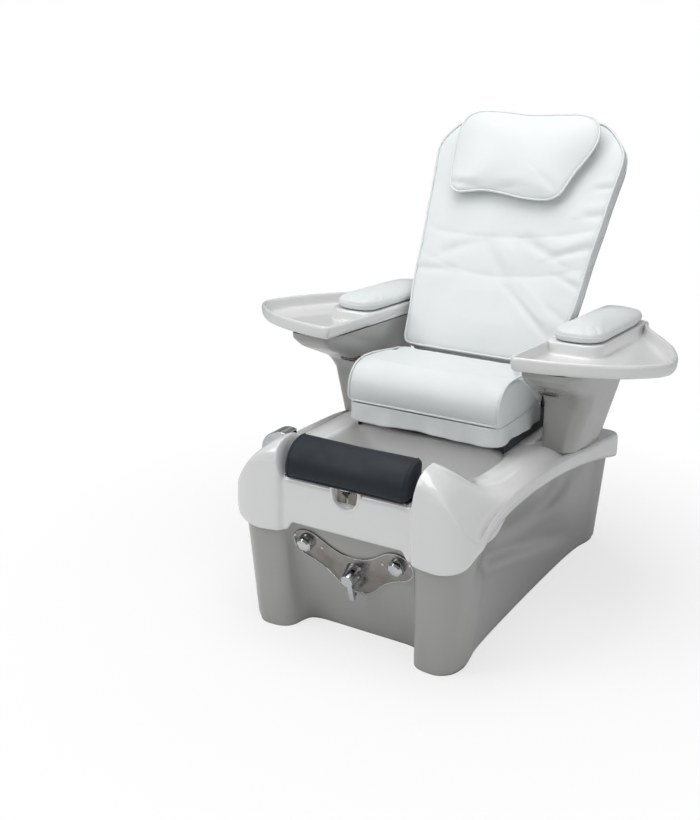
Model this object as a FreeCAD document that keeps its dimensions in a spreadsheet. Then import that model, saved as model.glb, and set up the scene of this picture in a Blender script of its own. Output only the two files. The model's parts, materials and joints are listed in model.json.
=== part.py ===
"""Pedicure spa chair: plumbed foot basin base, sliding massage seat and tray arms.

Millimetres. X is the width, the sitter faces -Y, +Z is up. The origin lies on
the floor at the middle of the base. Left is the sitter's left (+X).
"""
import FreeCAD, Part
import math
import os
import re
import types

import Sketcher

Vector = FreeCAD.Vector

# Driving dimensions. Reaches are measured forward from the origin, rears backward.
# A setback is how far something stands behind the tub's front.
SIZES = {
    # Lower shell, at the floor and where its draft ends
    "shell_wall": 5,
    "shell_foot_half_width": 337,
    "shell_waist_half_width": 318,
    "shell_rear_half_width": 345,
    "shell_foot_setback": 30,
    "shell_panel_setback": 3,
    "shell_foot_inner": 188,
    "shell_foot_draft": 26,
    "shell_rear": 540,
    "shell_waist_y": 60,
    "shell_draft_height": 430,
    "shell_side_draft": 42,
    "shell_front_draft": 15,
    "shell_panel_draft": 112,
    "shell_overlap": 18,
    # Tub and deck moulding
    "tub_wall": 5,
    "tub_half_width": 390,
    "tub_rear_half_width": 405,
    "tub_reach": 560,
    "tub_panel_setback": 15,
    "tub_rear": 558,
    "lobe_inner": 204,
    "lobe_top": 588,
    "lobe_crest_side": 262,
    "lobe_shoulder_height": 474,
    "rim_dip": 519,
    "deck_front_height": 480,
    "deck_rear_height": 385,
    "front_wall_top": 490,
    "skirt_low": 318,
    "skirt_high": 430,
    "skirt_rear_height": 312,
    "plinth_half_width": 280,
    "plinth_top": 478,
    "plinth_rear": 462,
    "basin_half_width": 270,
    "basin_front_rim": 114,
    "basin_rear": 36,
    "basin_floor": 170,
    "basin_corner": 70,
    # Steel base frame
    "tube_side": 30,
    "frame_half_width": 300,
    "frame_setback": 150,
    "frame_rear": 500,
    "frame_clearance": 30,
    "foot_pad_radius": 22,
    "foot_pad_height": 10,
    # Footrest
    "footrest_half_width": 200,
    "footrest_setback": 4,
    "footrest_depth": 98,
    "footrest_height": 104,
    "footrest_plate": 4,
    "tongue_half_width": 30,
    "tongue_thickness": 4,
    "tongue_bottom": 445,
    "notch_half_width": 44,
    "notch_bottom": 430,
    "notch_depth": 16,
    "clamp_stud_radius": 4,
    "clamp_height": 480,
    "clamp_knob_radius": 10,
    # Control plate and valves on the sloping front panel
    "plate_thickness": 3,
    "plate_half_width": 196,
    "plate_low": 148,
    "plate_high": 326,
    "knob_side": 148,
    "knob_height": 287,
    "knob_radius": 25,
    "knob_length": 30,
    "stem_radius": 7,
    "valve_radius": 19,
    "valve_length": 40,
    "diverter_valve_length": 22,
    "plate_screw_radius": 2,
    "diverter_height": 222,
    "diverter_radius": 30,
    "diverter_length": 46,
    # Waterfall spout on the right-hand rim
    "spout_side": 384,
    "spout_pipe_side": 330,
    "spout_setback": 200,
    "spout_width": 60,
    "spout_height": 64,
    "spout_throw": 84,
    "spout_wall": 3,
    "spout_pipe_radius": 11,
    # Water and power
    "drain_radius": 20,
    "drain_height": 100,
    "drain_reach": 244,
    "inlet_radius": 10.5,
    "inlet_height": 110,
    "hot_inlet_side": 170,
    "cold_inlet_side": 110,
    "supply_pipe_radius": 8,
    "pipe_tail": 26,
    "pipe_collar": 3,
    "grille_half_width": 52,
    "grille_height": 40,
    "grille_middle": 448,
    "suction_radius": 16,
    "pump_side": 40,
    "pump_y": 130,
    "pump_radius": 55,
    "pump_width": 60,
    "motor_radius": 48,
    "motor_length": 130,
    "jet_radius": 24,
    "jet_height": 260,
    "jet_reach": 250,
    "jet_pipe_radius": 9,
    "power_inlet_side": 110,
    "power_inlet_width": 50,
    "power_inlet_height": 30,
    # Arm columns
    "column_inner": 300,
    "column_reach": -75,
    "column_rear": 395,
    "column_foot_half_width": 385,
    "column_head_half_width": 478,
    "column_wall": 5,
    "corbel_reach": 135,
    "corbel_bottom": 632,
    "corbel_lip": 10,
    "column_bolt_radius": 5,
    "column_bolt_side": 345,
    # Arms, hinged behind the column
    "arm_axis_y": 425,
    "arm_axis_z": 724,
    "arm_tilt": 3.2,
    "arm_pin_radius": 6,
    "arm_pin_drop": 14,
    "tray_inner": 293,
    "tray_reach": 592,
    "tray_tip_side": 694,
    "tray_rear": 150,
    "arm_rear_inner": 306,
    "tray_rim_height": 42,
    "tray_rim_width": 12,
    "tray_floor": 5,
    "pad_inner": 303,
    "pad_outer": 454,
    "pad_reach": 328,
    "pad_rear": 146,
    "pad_height": 54,
    "latch_side": 334,
    "latch_width": 70,
    "latch_opening": 24,
    "latch_depth": 16,
    # Seat
    "rail_side": 228,
    "rail_width": 30,
    "rail_height": 14,
    "rail_front": -20,
    "rail_rear": 445,
    "carriage_half_width": 243,
    "carriage_reach": 60,
    "carriage_rear": 330,
    "carriage_height": 48,
    "carriage_plate": 6,
    "slide_gap": 0.3,
    "pan_thickness": 15,
    "pan_half_width": 238,
    "pan_rear": 212,
    "seat_half_width": 262,
    "seat_reach": 115,
    "seat_rear": 226,
    "seat_thickness": 128,
    "seat_crown": 16,
    "skirt_thickness": 3,
    "skirt_drop": 40,
    "soft_gap": 0.3,
    # Back, in its own upright frame before it is reclined
    "back_y": 270,
    "back_z": 700,
    "rest_recline": 30,
    "recline_pivot_y": 262,
    "recline_pivot_z": 612,
    "recline_pin_radius": 8,
    "recline_lever": 92,
    "lever_offset": 12.5,
    "rod_radius": 9,
    "rod_pin_radius": 6,
    "rod_pin_play": 0.8,
    "actuator_side": 50,
    "back_bottom": -35,
    "back_top": 785,
    "back_bottom_half_width": 266,
    "back_low_half_width": 286,
    "back_mid_half_width": 300,
    "back_high_half_width": 327,
    "back_top_half_width": 210,
    "cushion_depth": 45,
    "cushion_crown": 12,
    "shell_depth": 80,
    "shell_inset": 6,
    "back_shell_wall": 3,
    "back_tube": 25,
    "back_tube_side": 150,
    "back_lug_side": 222,
    "running_fit": 0.05,
    # Massage unit inside the back
    "massage_rail_side": 109,
    "massage_rail_width": 18,
    "massage_rail_depth": 24,
    "massage_height": 360,
    "pinion_radius": 12,
    "axle_radius": 5,
    "roller_radius": 27,
    "roller_width": 28,
    "roller_side": 55,
    "roller_pin_radius": 6,
    "massage_plate_height": 130,
    "massage_plate_thickness": 4,
    "massage_motor_width": 70,
    "massage_motor_height": 30,
    "massage_ear": 5,
    # Head pillow
    "pillow_half_width": 245,
    "pillow_bottom": 484,
    "pillow_top": 782,
    "pillow_thickness": 68,
    "strap_leg_bottom": 760,
    "strap_half_width": 60,
    "strap_thickness": 2,
}

# Reaches that follow the tub's front
REACHES = {
    "shell_foot_reach": "(tub_reach - shell_foot_setback)",
    "shell_panel_reach": "(tub_reach - tub_panel_setback - shell_panel_setback - shell_panel_draft)",
    "tub_panel_reach": "(tub_reach - tub_panel_setback)",
    "basin_reach": "(tub_reach - basin_front_rim)",
    "frame_reach": "(tub_reach - frame_setback)",
    "footrest_reach": "(tub_reach - footrest_setback)",
    "spout_reach": "(tub_reach - spout_setback)",
}

doc = FreeCAD.newDocument("pedicure_spa_chair")
sheet = doc.addObject("Spreadsheet::Sheet", "Sizes")
for row, (alias, value) in enumerate(SIZES.items(), start=1):
    sheet.set(f"A{row}", alias)
    sheet.set(f"B{row}", str(value))
    sheet.setAlias(f"B{row}", alias)
doc.recompute()


def sized(text):
    """Point each size named in an expression at its cell, a reach by its rule."""
    ruled = re.sub(r"[a-z_]{3,}", lambda m: REACHES.get(m[0], m[0]), text)
    return re.sub(r"[a-z_]{3,}", lambda m: "Sizes." + m[0] if m[0] in SIZES else m[0], ruled)


s = types.SimpleNamespace(**{name: float(sheet.evalExpression(sized(name))) for name in (*SIZES, *REACHES)})

nodes = []


def placed(item, at, turn=None, frame=None):
    """Bind an object's placement to the sheet, in the base's frame or a tilted one."""
    axis, angle = turn or ("0; 0; 1", "0")
    text = (f"create(<<placement>>; create(<<vector>>; {at[0]}; {at[1]}; {at[2]}); "
            f"create(<<rotation>>; create(<<vector>>; {axis}); {angle}))")
    if frame:
        text = f"{frame} * {text}"
    item.setExpression("Placement", sized(text))
    return item


def tilted(y, z, angle):
    """Text of a frame carried at y, z and turned back about X by an angle."""
    return (f"create(<<placement>>; create(<<vector>>; 0; {y}; {z}); "
            f"create(<<rotation>>; create(<<vector>>; 1; 0; 0); -{angle}))")


BACK = tilted("back_y", "back_z", "rest_recline")
ARM = tilted("arm_axis_y", "arm_axis_z", "arm_tilt")
PANEL_LEAN = "90 deg + atan(shell_panel_draft / shell_draft_height)"
PANEL_Y = "-(shell_panel_reach + shell_panel_draft * knob_height / shell_draft_height)"
ALONG = {"X": ("0; 1; 0", "90"), "Y": ("1; 0; 0", "-90"), "Z": None}


def named(item, label):
    """Give a finished sub-part its node name."""
    item.Label = label
    nodes.append(item)
    return item


def block(at, span, frame=None):
    """A box with one corner at a place, its spans bound to the sheet."""
    item = doc.addObject("Part::Box", "Block")
    for name, text in zip(("Length", "Width", "Height"), span):
        item.setExpression(name, sized(text))
    return placed(item, at, frame=frame)


def rod(at, radius, length, along="Z", frame=None):
    """A cylinder from a place along an axis."""
    item = doc.addObject("Part::Cylinder", "Rod")
    item.setExpression("Radius", sized(radius))
    item.setExpression("Height", sized(length))
    return placed(item, at, ALONG[along], frame)


def joined(*items):
    """One solid out of several that touch."""
    item = doc.addObject("Part::MultiFuse", "Joined")
    item.Shapes = list(items)
    return item


def grouped(*items):
    """Several separate solids that share a node."""
    item = doc.addObject("Part::Compound", "Group")
    item.Links = list(items)
    return item


def cut(base, *tools):
    """A solid less its tools."""
    item = doc.addObject("Part::Cut", "Cut")
    item.Base = base
    item.Tool = tools[0] if len(tools) == 1 else joined(*tools)
    return item


def mirrored(source):
    """The same thing on the sitter's right."""
    item = doc.addObject("Part::Mirroring", "Mirror")
    item.Source = source
    item.Normal = Vector(1, 0, 0)
    return item


def outlined(body, role, corners):
    """A closed sketch on one of the body's own planes, each corner bound to the sheet."""
    plane = [item for item in body.Origin.OriginFeatures if item.Role == role][0]
    outline = body.newObject("Sketcher::SketchObject", "Outline")
    outline.AttachmentSupport = [(plane, "")]
    outline.MapMode = "FlatFace"
    texts = [[sized(text) for text in corner] for corner in corners]
    values = [[float(sheet.evalExpression(text)) for text in corner] for corner in texts]
    places = [Vector(u, v, 0) for u, v in values]
    count = len(places)
    for index, place in enumerate(places):
        outline.addGeometry(Part.LineSegment(place, places[(index + 1) % count]), False)
    for index in range(count):
        outline.addConstraint(Sketcher.Constraint("Coincident", index, 2, (index + 1) % count, 1))
    for index in range(count):
        for kind, text, value in zip(("DistanceX", "DistanceY"), texts[index], values[index]):
            number = outline.addConstraint(Sketcher.Constraint(kind, -1, 1, index, 1, value))
            if value:
                outline.setExpression(f"Constraints[{number}]", text)
    return outline


def turned(corners, at, turn=None, frame=None):
    """A body turned about its own Z from a half profile of (radius, height) corners."""
    body = doc.addObject("PartDesign::Body", "Turned")
    profile = outlined(body, "XZ_Plane", corners)
    revolution = body.newObject("PartDesign::Revolution", "Revolution")
    revolution.Profile = profile
    revolution.ReferenceAxis = (profile, ["V_Axis"])
    revolution.Angle = 360
    return placed(body, at, turn, frame)


def padded(corners, thickness, at, role="XY_Plane", frame=None):
    """A body padded off one of its own planes from an outline of corners."""
    body = doc.addObject("PartDesign::Body", "Padded")
    profile = outlined(body, role, corners)
    pad = body.newObject("PartDesign::Pad", "Pad")
    pad.Profile = profile
    pad.setExpression("Length", sized(thickness))
    return placed(body, at, frame=frame)


def feature(shape, placement=None):
    """A free-form solid made with the Part functions."""
    item = doc.addObject("Part::Feature", "Form")
    item.Shape = shape
    if placement:
        item.Placement = placement
    return item


def frame_placement(y, z, angle):
    """The tilted frame as a placement, for a free-form solid."""
    return FreeCAD.Placement(Vector(0, y, z), FreeCAD.Rotation(Vector(1, 0, 0), -angle))


back_place = frame_placement(s.back_y, s.back_z, s.rest_recline)
arm_place = frame_placement(s.arm_axis_y, s.arm_axis_z, s.arm_tilt)


def rounded_wire(corners, to_point):
    """A closed wire through (u, v, radius) corners, each radius a tangent arc."""
    edges = []
    ends = []
    count = len(corners)
    for index, (u, v, radius) in enumerate(corners):
        here = Vector(u, v, 0)
        before = Vector(*corners[index - 1][:2], 0) - here
        after = Vector(*corners[(index + 1) % count][:2], 0) - here
        if radius <= 0:
            ends.append((here, None, here))
            continue
        half = before.getAngle(after) / 2
        reach = radius / math.tan(half)
        before.normalize()
        after.normalize()
        bisector = (before + after).normalize()
        middle = here + bisector * (radius / math.sin(half) - radius)
        ends.append((here + before * reach, middle, here + after * reach))
    for index, (start, middle, end) in enumerate(ends):
        if middle is not None:
            edges.append(Part.Arc(to_point(start), to_point(middle), to_point(end)).toShape())
        following = ends[(index + 1) % count][0]
        edges.append(Part.LineSegment(to_point(end), to_point(following)).toShape())
    return Part.Wire(edges)


def flat(z):
    """Places plan corners at a height."""
    return lambda p: Vector(p.x, p.y, z)


def upright(y):
    """Places front-view corners (x, z) at a depth."""
    return lambda p: Vector(p.x, y, p.y)


def sideways(x):
    """Places side-view corners (y, z) at a width."""
    return lambda p: Vector(x, p.x, p.y)


def prism(corners, to_point, direction):
    """A rounded outline pushed along a direction."""
    return Part.Face(rounded_wire(corners, to_point)).extrude(direction)


def slab(corners, bottom, top):
    """A plan outline between two heights."""
    return prism(corners, flat(bottom), Vector(0, 0, top - bottom))


def both_sides(half):
    """Closes a right-hand half outline, front middle to rear middle, over x = 0."""
    return half + [(-x, y, radius) for x, y, radius in reversed(half)]


def loft(wires):
    """A ruled solid through outlines that have the same count of edges."""
    return Part.makeLoft(wires, True, True)


def tangent_path(points, bend):
    """Straight runs joined by arcs of one radius."""
    edges = []
    start = points[0]
    for before, here, after in zip(points, points[1:], points[2:]):
        back = (before - here).normalize()
        ahead = (after - here).normalize()
        half = back.getAngle(ahead) / 2
        reach = bend / math.tan(half)
        enter = here + back * reach
        leave = here + ahead * reach
        middle = here + (back + ahead).normalize() * (bend / math.sin(half) - bend)
        edges.append(Part.LineSegment(start, enter).toShape())
        edges.append(Part.Arc(enter, middle, leave).toShape())
        start = leave
    edges.append(Part.LineSegment(start, points[-1]).toShape())
    return Part.Wire(edges)


def pipe(points, radius, bend=None):
    """A round pipe along straight runs and arcs."""
    places = [Vector(*point) for point in points]
    direction = places[1] - places[0]
    ring = Part.Wire(Part.makeCircle(radius, places[0], direction))
    path = tangent_path(places, bend or 2.5 * radius)
    return path.makePipeShell([ring], True, False)


# Lower shell and tub, as outlines shared by the mouldings

def shell_plan(inset, rise):
    """Lower shell's plan at a height, with its feet standing ahead of the front panel."""
    share = rise / s.shell_draft_height
    side = s.shell_side_draft * share - inset
    foot = s.shell_foot_reach + s.shell_front_draft * share - inset
    panel = s.shell_panel_reach + s.shell_panel_draft * share - inset
    inner = s.shell_foot_inner + s.shell_foot_draft * share + inset
    return both_sides([
        (inner, -panel, 8),
        (inner + 24, -foot, 22),
        (s.shell_foot_half_width + side, -foot, 60),
        (s.shell_waist_half_width + side, s.shell_waist_y, 400),
        (s.shell_rear_half_width + side, s.shell_rear - inset, 45),
    ])


def skirt_edge():
    """The tub's lower edge in side view, front to rear."""
    middle = (s.skirt_high + s.skirt_low) / 2
    return [
        (-s.tub_reach - 20, s.skirt_low),
        (-s.tub_reach + 70, s.skirt_low),
        (-s.tub_reach + 128, middle),
        (-s.tub_reach + 180, s.skirt_high - 12),
        (-s.tub_reach + 250, s.skirt_high),
        (0, s.skirt_high - 5),
        (s.tub_rear / 2, s.skirt_high - 55),
        (s.tub_rear + 20, s.skirt_rear_height),
    ]


def deck_edge(drop):
    """The tub's top in side view, rear to front, over rim and lobe."""
    return [
        (s.tub_rear + 20, s.deck_rear_height - drop),
        (s.tub_rear, s.deck_rear_height - drop),
        (30, s.deck_front_height - 4 - drop),
        (-110, s.deck_front_height - drop),
        (-s.tub_reach + 174, s.rim_dip - drop),
        (-s.tub_reach + 132, s.rim_dip + 38 - drop),
        (-s.tub_reach + 98, s.lobe_top - drop),
        (-s.tub_reach + 72 + drop / 2, s.lobe_top - drop),
        (-s.tub_reach + 26 + drop, s.lobe_top - 48 - drop),
        (-s.tub_reach + drop, s.lobe_top - 118 - drop),
        (-s.tub_reach + drop, s.skirt_low - 10),
    ]


def side_solid(edge, half_width):
    """A side view pushed across the whole width."""
    corners = [(y, z, 0) for y, z in edge]
    return prism(corners, sideways(-half_width), Vector(2 * half_width, 0, 0))


def tub_plan(inset):
    """The tub's plan: lobes ahead of the front panel, wider to the rear."""
    return both_sides([
        (s.lobe_inner + inset, -s.tub_panel_reach + inset, 8),
        (s.lobe_inner + inset + 8, -s.tub_reach + inset, 5),
        (s.tub_half_width - inset, -s.tub_reach + inset, 75),
        (s.tub_rear_half_width - inset, s.tub_rear - inset, 40),
    ])


def basin_plan(grow):
    """The foot basin's plan."""
    side = s.basin_half_width + grow
    corner = s.basin_corner + grow
    return [
        (-side, -s.basin_reach - grow, corner),
        (side, -s.basin_reach - grow, corner),
        (side, -s.basin_rear + grow, corner),
        (-side, -s.basin_rear + grow, corner),
    ]


def centred_block(half_width, front, rear, bottom, top):
    """A plain box over the middle."""
    return Part.makeBox(2 * half_width, rear - front, top - bottom, Vector(-half_width, front, bottom))


def panel_y(height):
    """Front panel's outer surface at a height, on its slope."""
    share = height / s.shell_draft_height
    return -(s.shell_panel_reach + s.shell_panel_draft * share)


def panel_angle():
    """Lean of the front panel from upright, in degrees."""
    return math.degrees(math.atan2(s.shell_panel_draft, s.shell_draft_height))


def tub_body(inset, drop):
    """The moulding's outer form without the basin."""
    edge = [(y, z - (200 if inset else 0)) for y, z in skirt_edge()]
    sides = side_solid(edge + deck_edge(drop), s.tub_rear_half_width + 50)
    plan = slab(tub_plan(inset), s.skirt_low - 250, s.lobe_top + 50)
    between = centred_block(s.lobe_inner + inset, -s.tub_reach - 30, -s.basin_reach + 90,
                            s.front_wall_top - drop, s.lobe_top + 60)
    plinth = centred_block(s.plinth_half_width - inset, -s.basin_rear + s.tub_wall,
                           s.plinth_rear - inset, s.skirt_rear_height, s.plinth_top - drop)
    fall = drop and s.tub_wall
    corners = [(-s.tub_rear_half_width - 60, 0, 0)]
    for side in (-1, 1):
        ends = [(side * s.lobe_crest_side, s.lobe_top + 4 - fall, 0),
                (side * (s.tub_half_width + 2 - inset), s.lobe_shoulder_height - fall, 0),
                (side * (s.tub_rear_half_width + 60), s.lobe_shoulder_height - 60 - fall, 0)]
        corners += ends[::-1] if side < 0 else ends
    corners.append((s.tub_rear_half_width + 60, 0, 0))
    front_view = prism(corners, upright(-s.tub_reach - 30), Vector(0, 2 * s.tub_rear + 60, 0))
    return sides.common(plan).common(front_view).cut(between).fuse(plinth)


def make_tub():
    """Tub and deck: outer form, hollowed below, with the basin sunk in."""
    outer = tub_body(0, 0)
    inner = tub_body(s.tub_wall, s.tub_wall)
    basin_skin = slab(basin_plan(s.tub_wall), s.basin_floor - s.tub_wall, s.lobe_top + 80)
    basin = slab(basin_plan(0), s.basin_floor, s.lobe_top + 80)
    form = outer.fuse(basin_skin.common(slab(tub_plan(0), 0, s.skirt_high + 40)))
    tub = form.cut(inner.cut(basin_skin)).cut(basin)
    notch = prism([(-s.notch_half_width, s.front_wall_top + 20, 0),
                   (-s.notch_half_width, s.notch_bottom, s.notch_half_width - 4),
                   (s.notch_half_width, s.notch_bottom, s.notch_half_width - 4),
                   (s.notch_half_width, s.front_wall_top + 20, 0)],
                  upright(-s.tub_reach - 10), Vector(0, 10 + s.tub_reach - s.tub_panel_reach + s.notch_depth, 0))
    backing = centred_block(s.notch_half_width + 12, -s.tub_panel_reach + 1,
                            -s.tub_panel_reach + s.notch_depth + s.tub_wall,
                            s.notch_bottom - 14, s.front_wall_top)
    stud = Part.makeCylinder(s.clamp_stud_radius + s.running_fit, 60,
                             Vector(0, -s.tub_reach, s.clamp_height), Vector(0, 1, 0))
    drain = Part.makeCylinder(s.drain_radius + s.running_fit, 40, Vector(0, -s.drain_reach, s.basin_floor - 20))
    grille = centred_block(s.grille_half_width - 6, -s.basin_rear - 5, -s.basin_rear + 20,
                           s.grille_middle - s.grille_height / 2 + 6, s.grille_middle + s.grille_height / 2 - 6)
    jets = Part.makeCylinder(s.jet_radius - 8, 2 * s.tub_half_width,
                             Vector(-s.tub_half_width, -s.jet_reach, s.jet_height), Vector(1, 0, 0))
    jets = jets.common(slab(basin_plan(s.tub_wall + 2), 0, s.plinth_top))
    spout = Part.makeCylinder(s.spout_pipe_radius + s.running_fit, 300,
                              Vector(-s.spout_pipe_side, -s.spout_reach, s.skirt_high - 20))
    tub = tub.fuse(backing).cut(notch).cut(stud).cut(drain).cut(grille).cut(jets).cut(spout)
    return tub.cut([bolt_hole(x, y) for x in (-s.column_bolt_side, s.column_bolt_side) for y in bolt_places()])


def deck_slope():
    """Fall of the deck to the rear, in degrees."""
    run = s.tub_rear - 30
    return math.degrees(math.atan2(s.deck_front_height - 4 - s.deck_rear_height, run))


def deck_height(y):
    """Height of the sloping deck at a depth behind the seat's front."""
    return s.deck_front_height - 4 - (y - 30) * math.tan(math.radians(deck_slope()))


def bolt_places():
    """Depths of the two bolts that hold each arm column down."""
    return (-s.column_reach + 40, s.column_rear - 45)


def across_deck(x, y):
    """On the deck at a place, local Z square to its slope."""
    return FreeCAD.Placement(Vector(x, y, deck_height(y)), FreeCAD.Rotation(Vector(1, 0, 0), -deck_slope()))


def bolt_hole(x, y):
    """Clearance hole for a column bolt, through the deck and the column's flange."""
    hole = Part.makeCylinder(s.column_bolt_radius + s.running_fit, 60, Vector(0, 0, -30))
    hole.Placement = across_deck(x, y)
    return hole


def make_base_shell():
    """Lower shell: drafted skirt with feet, open above and below."""
    top = s.shell_draft_height + 60
    outer = loft([rounded_wire(shell_plan(0, 0), flat(0)), rounded_wire(shell_plan(0, top), flat(top))])
    wall = s.shell_wall
    inner = loft([rounded_wire(shell_plan(wall, -1), flat(-1)),
                  rounded_wire(shell_plan(wall, top + 1), flat(top + 1))])
    under_skirt = [(y, z + s.shell_overlap) for y, z in skirt_edge()]
    reach = s.tub_rear + 20
    keep = side_solid(under_skirt + [(reach, -10), (-s.tub_reach - 20, -10)], s.tub_rear_half_width + 50)
    shell = outer.cut(inner).common(keep)
    holes = []
    rear = s.shell_rear - 40
    for x, radius, height in ((0, s.drain_radius, s.drain_height),
                              (-s.hot_inlet_side, s.inlet_radius, s.inlet_height),
                              (-s.cold_inlet_side, s.inlet_radius, s.inlet_height)):
        holes.append(Part.makeCylinder(radius + s.soft_gap, 80, Vector(x, rear, height), Vector(0, 1, 0)))
    fit = s.soft_gap
    holes.append(Part.makeBox(s.power_inlet_width + 2 * fit, 80, s.power_inlet_height + 2 * fit,
                              Vector(s.power_inlet_side - fit, rear,
                                     s.inlet_height - s.power_inlet_height / 2 - fit)))
    for x, height, radius in ((-s.knob_side, s.knob_height, s.valve_radius),
                              (s.knob_side, s.knob_height, s.valve_radius),
                              (0, s.diverter_height, s.valve_radius)):
        middle = Vector(x, panel_y(height), height)
        lean = math.radians(panel_angle())
        axis = Vector(0, math.cos(lean), math.sin(lean))
        holes.append(Part.makeCylinder(radius + 1, 60, middle - axis * 30, axis))
    return shell.cut(holes)


def make_base():
    """Everything that stands still round the tub."""
    named(feature(make_base_shell()), "base_shell")
    named(feature(make_tub()), "tub_shell")


# Steel frame under the tub

def make_frame():
    """Welded ring, cross tubes and uprights, on four threaded feet."""
    low = "frame_clearance"
    high = "frame_clearance + tube_side"
    pieces = []
    for x in ("-frame_half_width", "frame_half_width - tube_side"):
        pieces.append(block((x, "-frame_reach", low), ("tube_side", "frame_reach + frame_rear", "tube_side")))
    crosses = ("-frame_reach", "-jet_reach + 40", "60", "200", "frame_rear - tube_side")
    for y in crosses:
        pieces.append(block(("-frame_half_width", y, low), ("2 * frame_half_width", "tube_side", "tube_side")))
    under_basin = f"basin_floor - tub_wall - ({high})"
    for x in ("-200 - tube_side", "200"):
        pieces.append(block((x, "-jet_reach + 40", high), ("tube_side", "tube_side", under_basin)))
    under_plinth = f"plinth_top - tub_wall - ({high})"
    for x in ("-plinth_half_width + tub_wall", "plinth_half_width - tub_wall - tube_side"):
        for y in ("60", "frame_rear - tube_side - 70"):
            pieces.append(block((x, y, high), ("tube_side", "tube_side", under_plinth)))
        pieces.append(block((x, "frame_rear - tube_side - 70", low), ("tube_side", "70", "tube_side")))
    named(joined(*pieces), "base_frame")
    feet = []
    for x in ("-frame_half_width + tube_side / 2", "frame_half_width - tube_side / 2"):
        for y in ("-frame_reach + tube_side / 2", "frame_rear - tube_side / 2"):
            profile = [("0", "0"), ("foot_pad_radius", "0"), ("foot_pad_radius", "foot_pad_height - 4"),
                       ("stem_radius + 4", "foot_pad_height"), ("stem_radius", "foot_pad_height"),
                       ("stem_radius", "frame_clearance"), ("0", "frame_clearance")]
            feet.append(turned(profile, (x, y, "0")))
    named(grouped(*feet), "levelling_feet")


# Water: drain, jets, pump, valves and spout

def tail_collar(x, height, radius):
    """Stop ring on a pipe's tail, just outside the lower shell, for the hose to butt against."""
    return Part.makeCylinder(radius + s.pipe_collar, s.pipe_collar, Vector(x, s.shell_rear + 1, height),
                             Vector(0, 1, 0))


def make_drain():
    """Strainer in the basin floor and the tailpipe out to the rear."""
    flange = rod(("0", "-drain_reach", "basin_floor"), "drain_radius + 14", "3")
    throat = rod(("0", "-drain_reach", "basin_floor - tub_wall - 12"), "drain_radius", "tub_wall + 12")
    holes = [rod((f"{0.5 * math.cos(a)} * drain_radius", f"-drain_reach + {0.5 * math.sin(a)} * drain_radius",
                  "basin_floor - 40"), "drain_radius / 6", "60")
             for a in (math.pi * k / 3 for k in range(6))]
    named(cut(joined(flange, throat), *holes), "drain_strainer")
    below = s.basin_floor - s.tub_wall - 12
    path = [(0, -s.drain_reach, below), (0, -s.drain_reach, s.drain_height),
            (0, s.shell_rear + s.pipe_tail, s.drain_height)]
    run = pipe(path, s.drain_radius, 1.6 * s.drain_radius)
    named(feature(run.fuse(tail_collar(0, s.drain_height, s.drain_radius))), "drain_tailpipe")


def make_circulation():
    """Intake grille, suction pipe, pump with its motor, jet pipes and jet nozzles."""
    plate = block(("-grille_half_width", "-basin_rear - 4", "grille_middle - grille_height / 2"),
                  ("2 * grille_half_width", "4", "grille_height"))
    spigot = rod(("0", "-basin_rear", "grille_middle"), "suction_radius - 3", "tub_wall + 8", "Y")
    bars = [block((f"grille_half_width * {k / 6 - 0.04}", "-basin_rear - 5", "grille_middle - grille_height / 2 + 5"),
                  ("grille_half_width / 12", "4", "grille_height - 10")) for k in (-5, -4, -3, -2, 2, 3, 4, 5)]
    named(cut(joined(plate, spigot), *bars), "intake_grille")
    pump_z = s.frame_clearance + s.tube_side + s.pump_radius + 12
    middle = s.pump_side + s.pump_width / 2
    path = [(0, -s.basin_rear + s.tub_wall + 8, s.grille_middle), (0, s.pump_y, s.grille_middle),
            (middle, s.pump_y, s.grille_middle), (middle, s.pump_y, pump_z + s.pump_radius)]
    named(feature(pipe(path, s.suction_radius, 2 * s.suction_radius)), "suction_pipe")
    along = Vector(1, 0, 0)
    volute = Part.makeCylinder(s.pump_radius, s.pump_width, Vector(s.pump_side, s.pump_y, pump_z), along)
    motor = Part.makeCylinder(s.motor_radius, s.motor_length,
                              Vector(s.pump_side + s.pump_width, s.pump_y, pump_z), along)
    base = s.frame_clearance + s.tube_side
    stand = Part.makeBox(s.pump_width + s.motor_length, 140 + s.tube_side, 12, Vector(s.pump_side, 60, base))
    rib = Part.makeBox(s.motor_length - 40, 50, s.pump_radius - s.motor_radius + 20,
                       Vector(s.pump_side + s.pump_width + 20, s.pump_y - 25, base + 12))
    pump = volute.fuse([motor, stand, rib])
    named(feature(pump), "circulation_pump")
    neck_end = s.basin_half_width + s.tub_wall + 12
    riser = neck_end + 20
    run_z = pump_z + 14
    for label, sign in (("left", 1), ("right", -1)):
        outward = Vector(sign, 0, 0)
        rose = Part.makeCylinder(s.jet_radius, 6, Vector(sign * (s.basin_half_width - 6), -s.jet_reach, s.jet_height),
                                 outward)
        neck = Part.makeCylinder(s.jet_radius - 8, neck_end - s.basin_half_width,
                                 Vector(sign * s.basin_half_width, -s.jet_reach, s.jet_height), outward)
        eye = Part.makeCylinder(6, 12, Vector(sign * (s.basin_half_width - 10), -s.jet_reach, s.jet_height), outward)
        named(feature(rose.fuse(neck).cut(eye)), f"{label}_jet_nozzle")
        start_x = middle + 15 * sign
        turn_y = -10 * sign
        path = [(start_x, s.pump_y - s.pump_radius + 12, run_z),
                (start_x, turn_y, run_z),
                (sign * riser, turn_y, run_z),
                (sign * riser, -s.jet_reach, run_z),
                (sign * riser, -s.jet_reach, s.jet_height),
                (sign * neck_end, -s.jet_reach, s.jet_height)]
        hose = pipe(path, s.jet_pipe_radius, 1.5 * s.jet_pipe_radius).cut(pump)
        named(feature(hose), f"{label}_jet_pipe")


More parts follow.
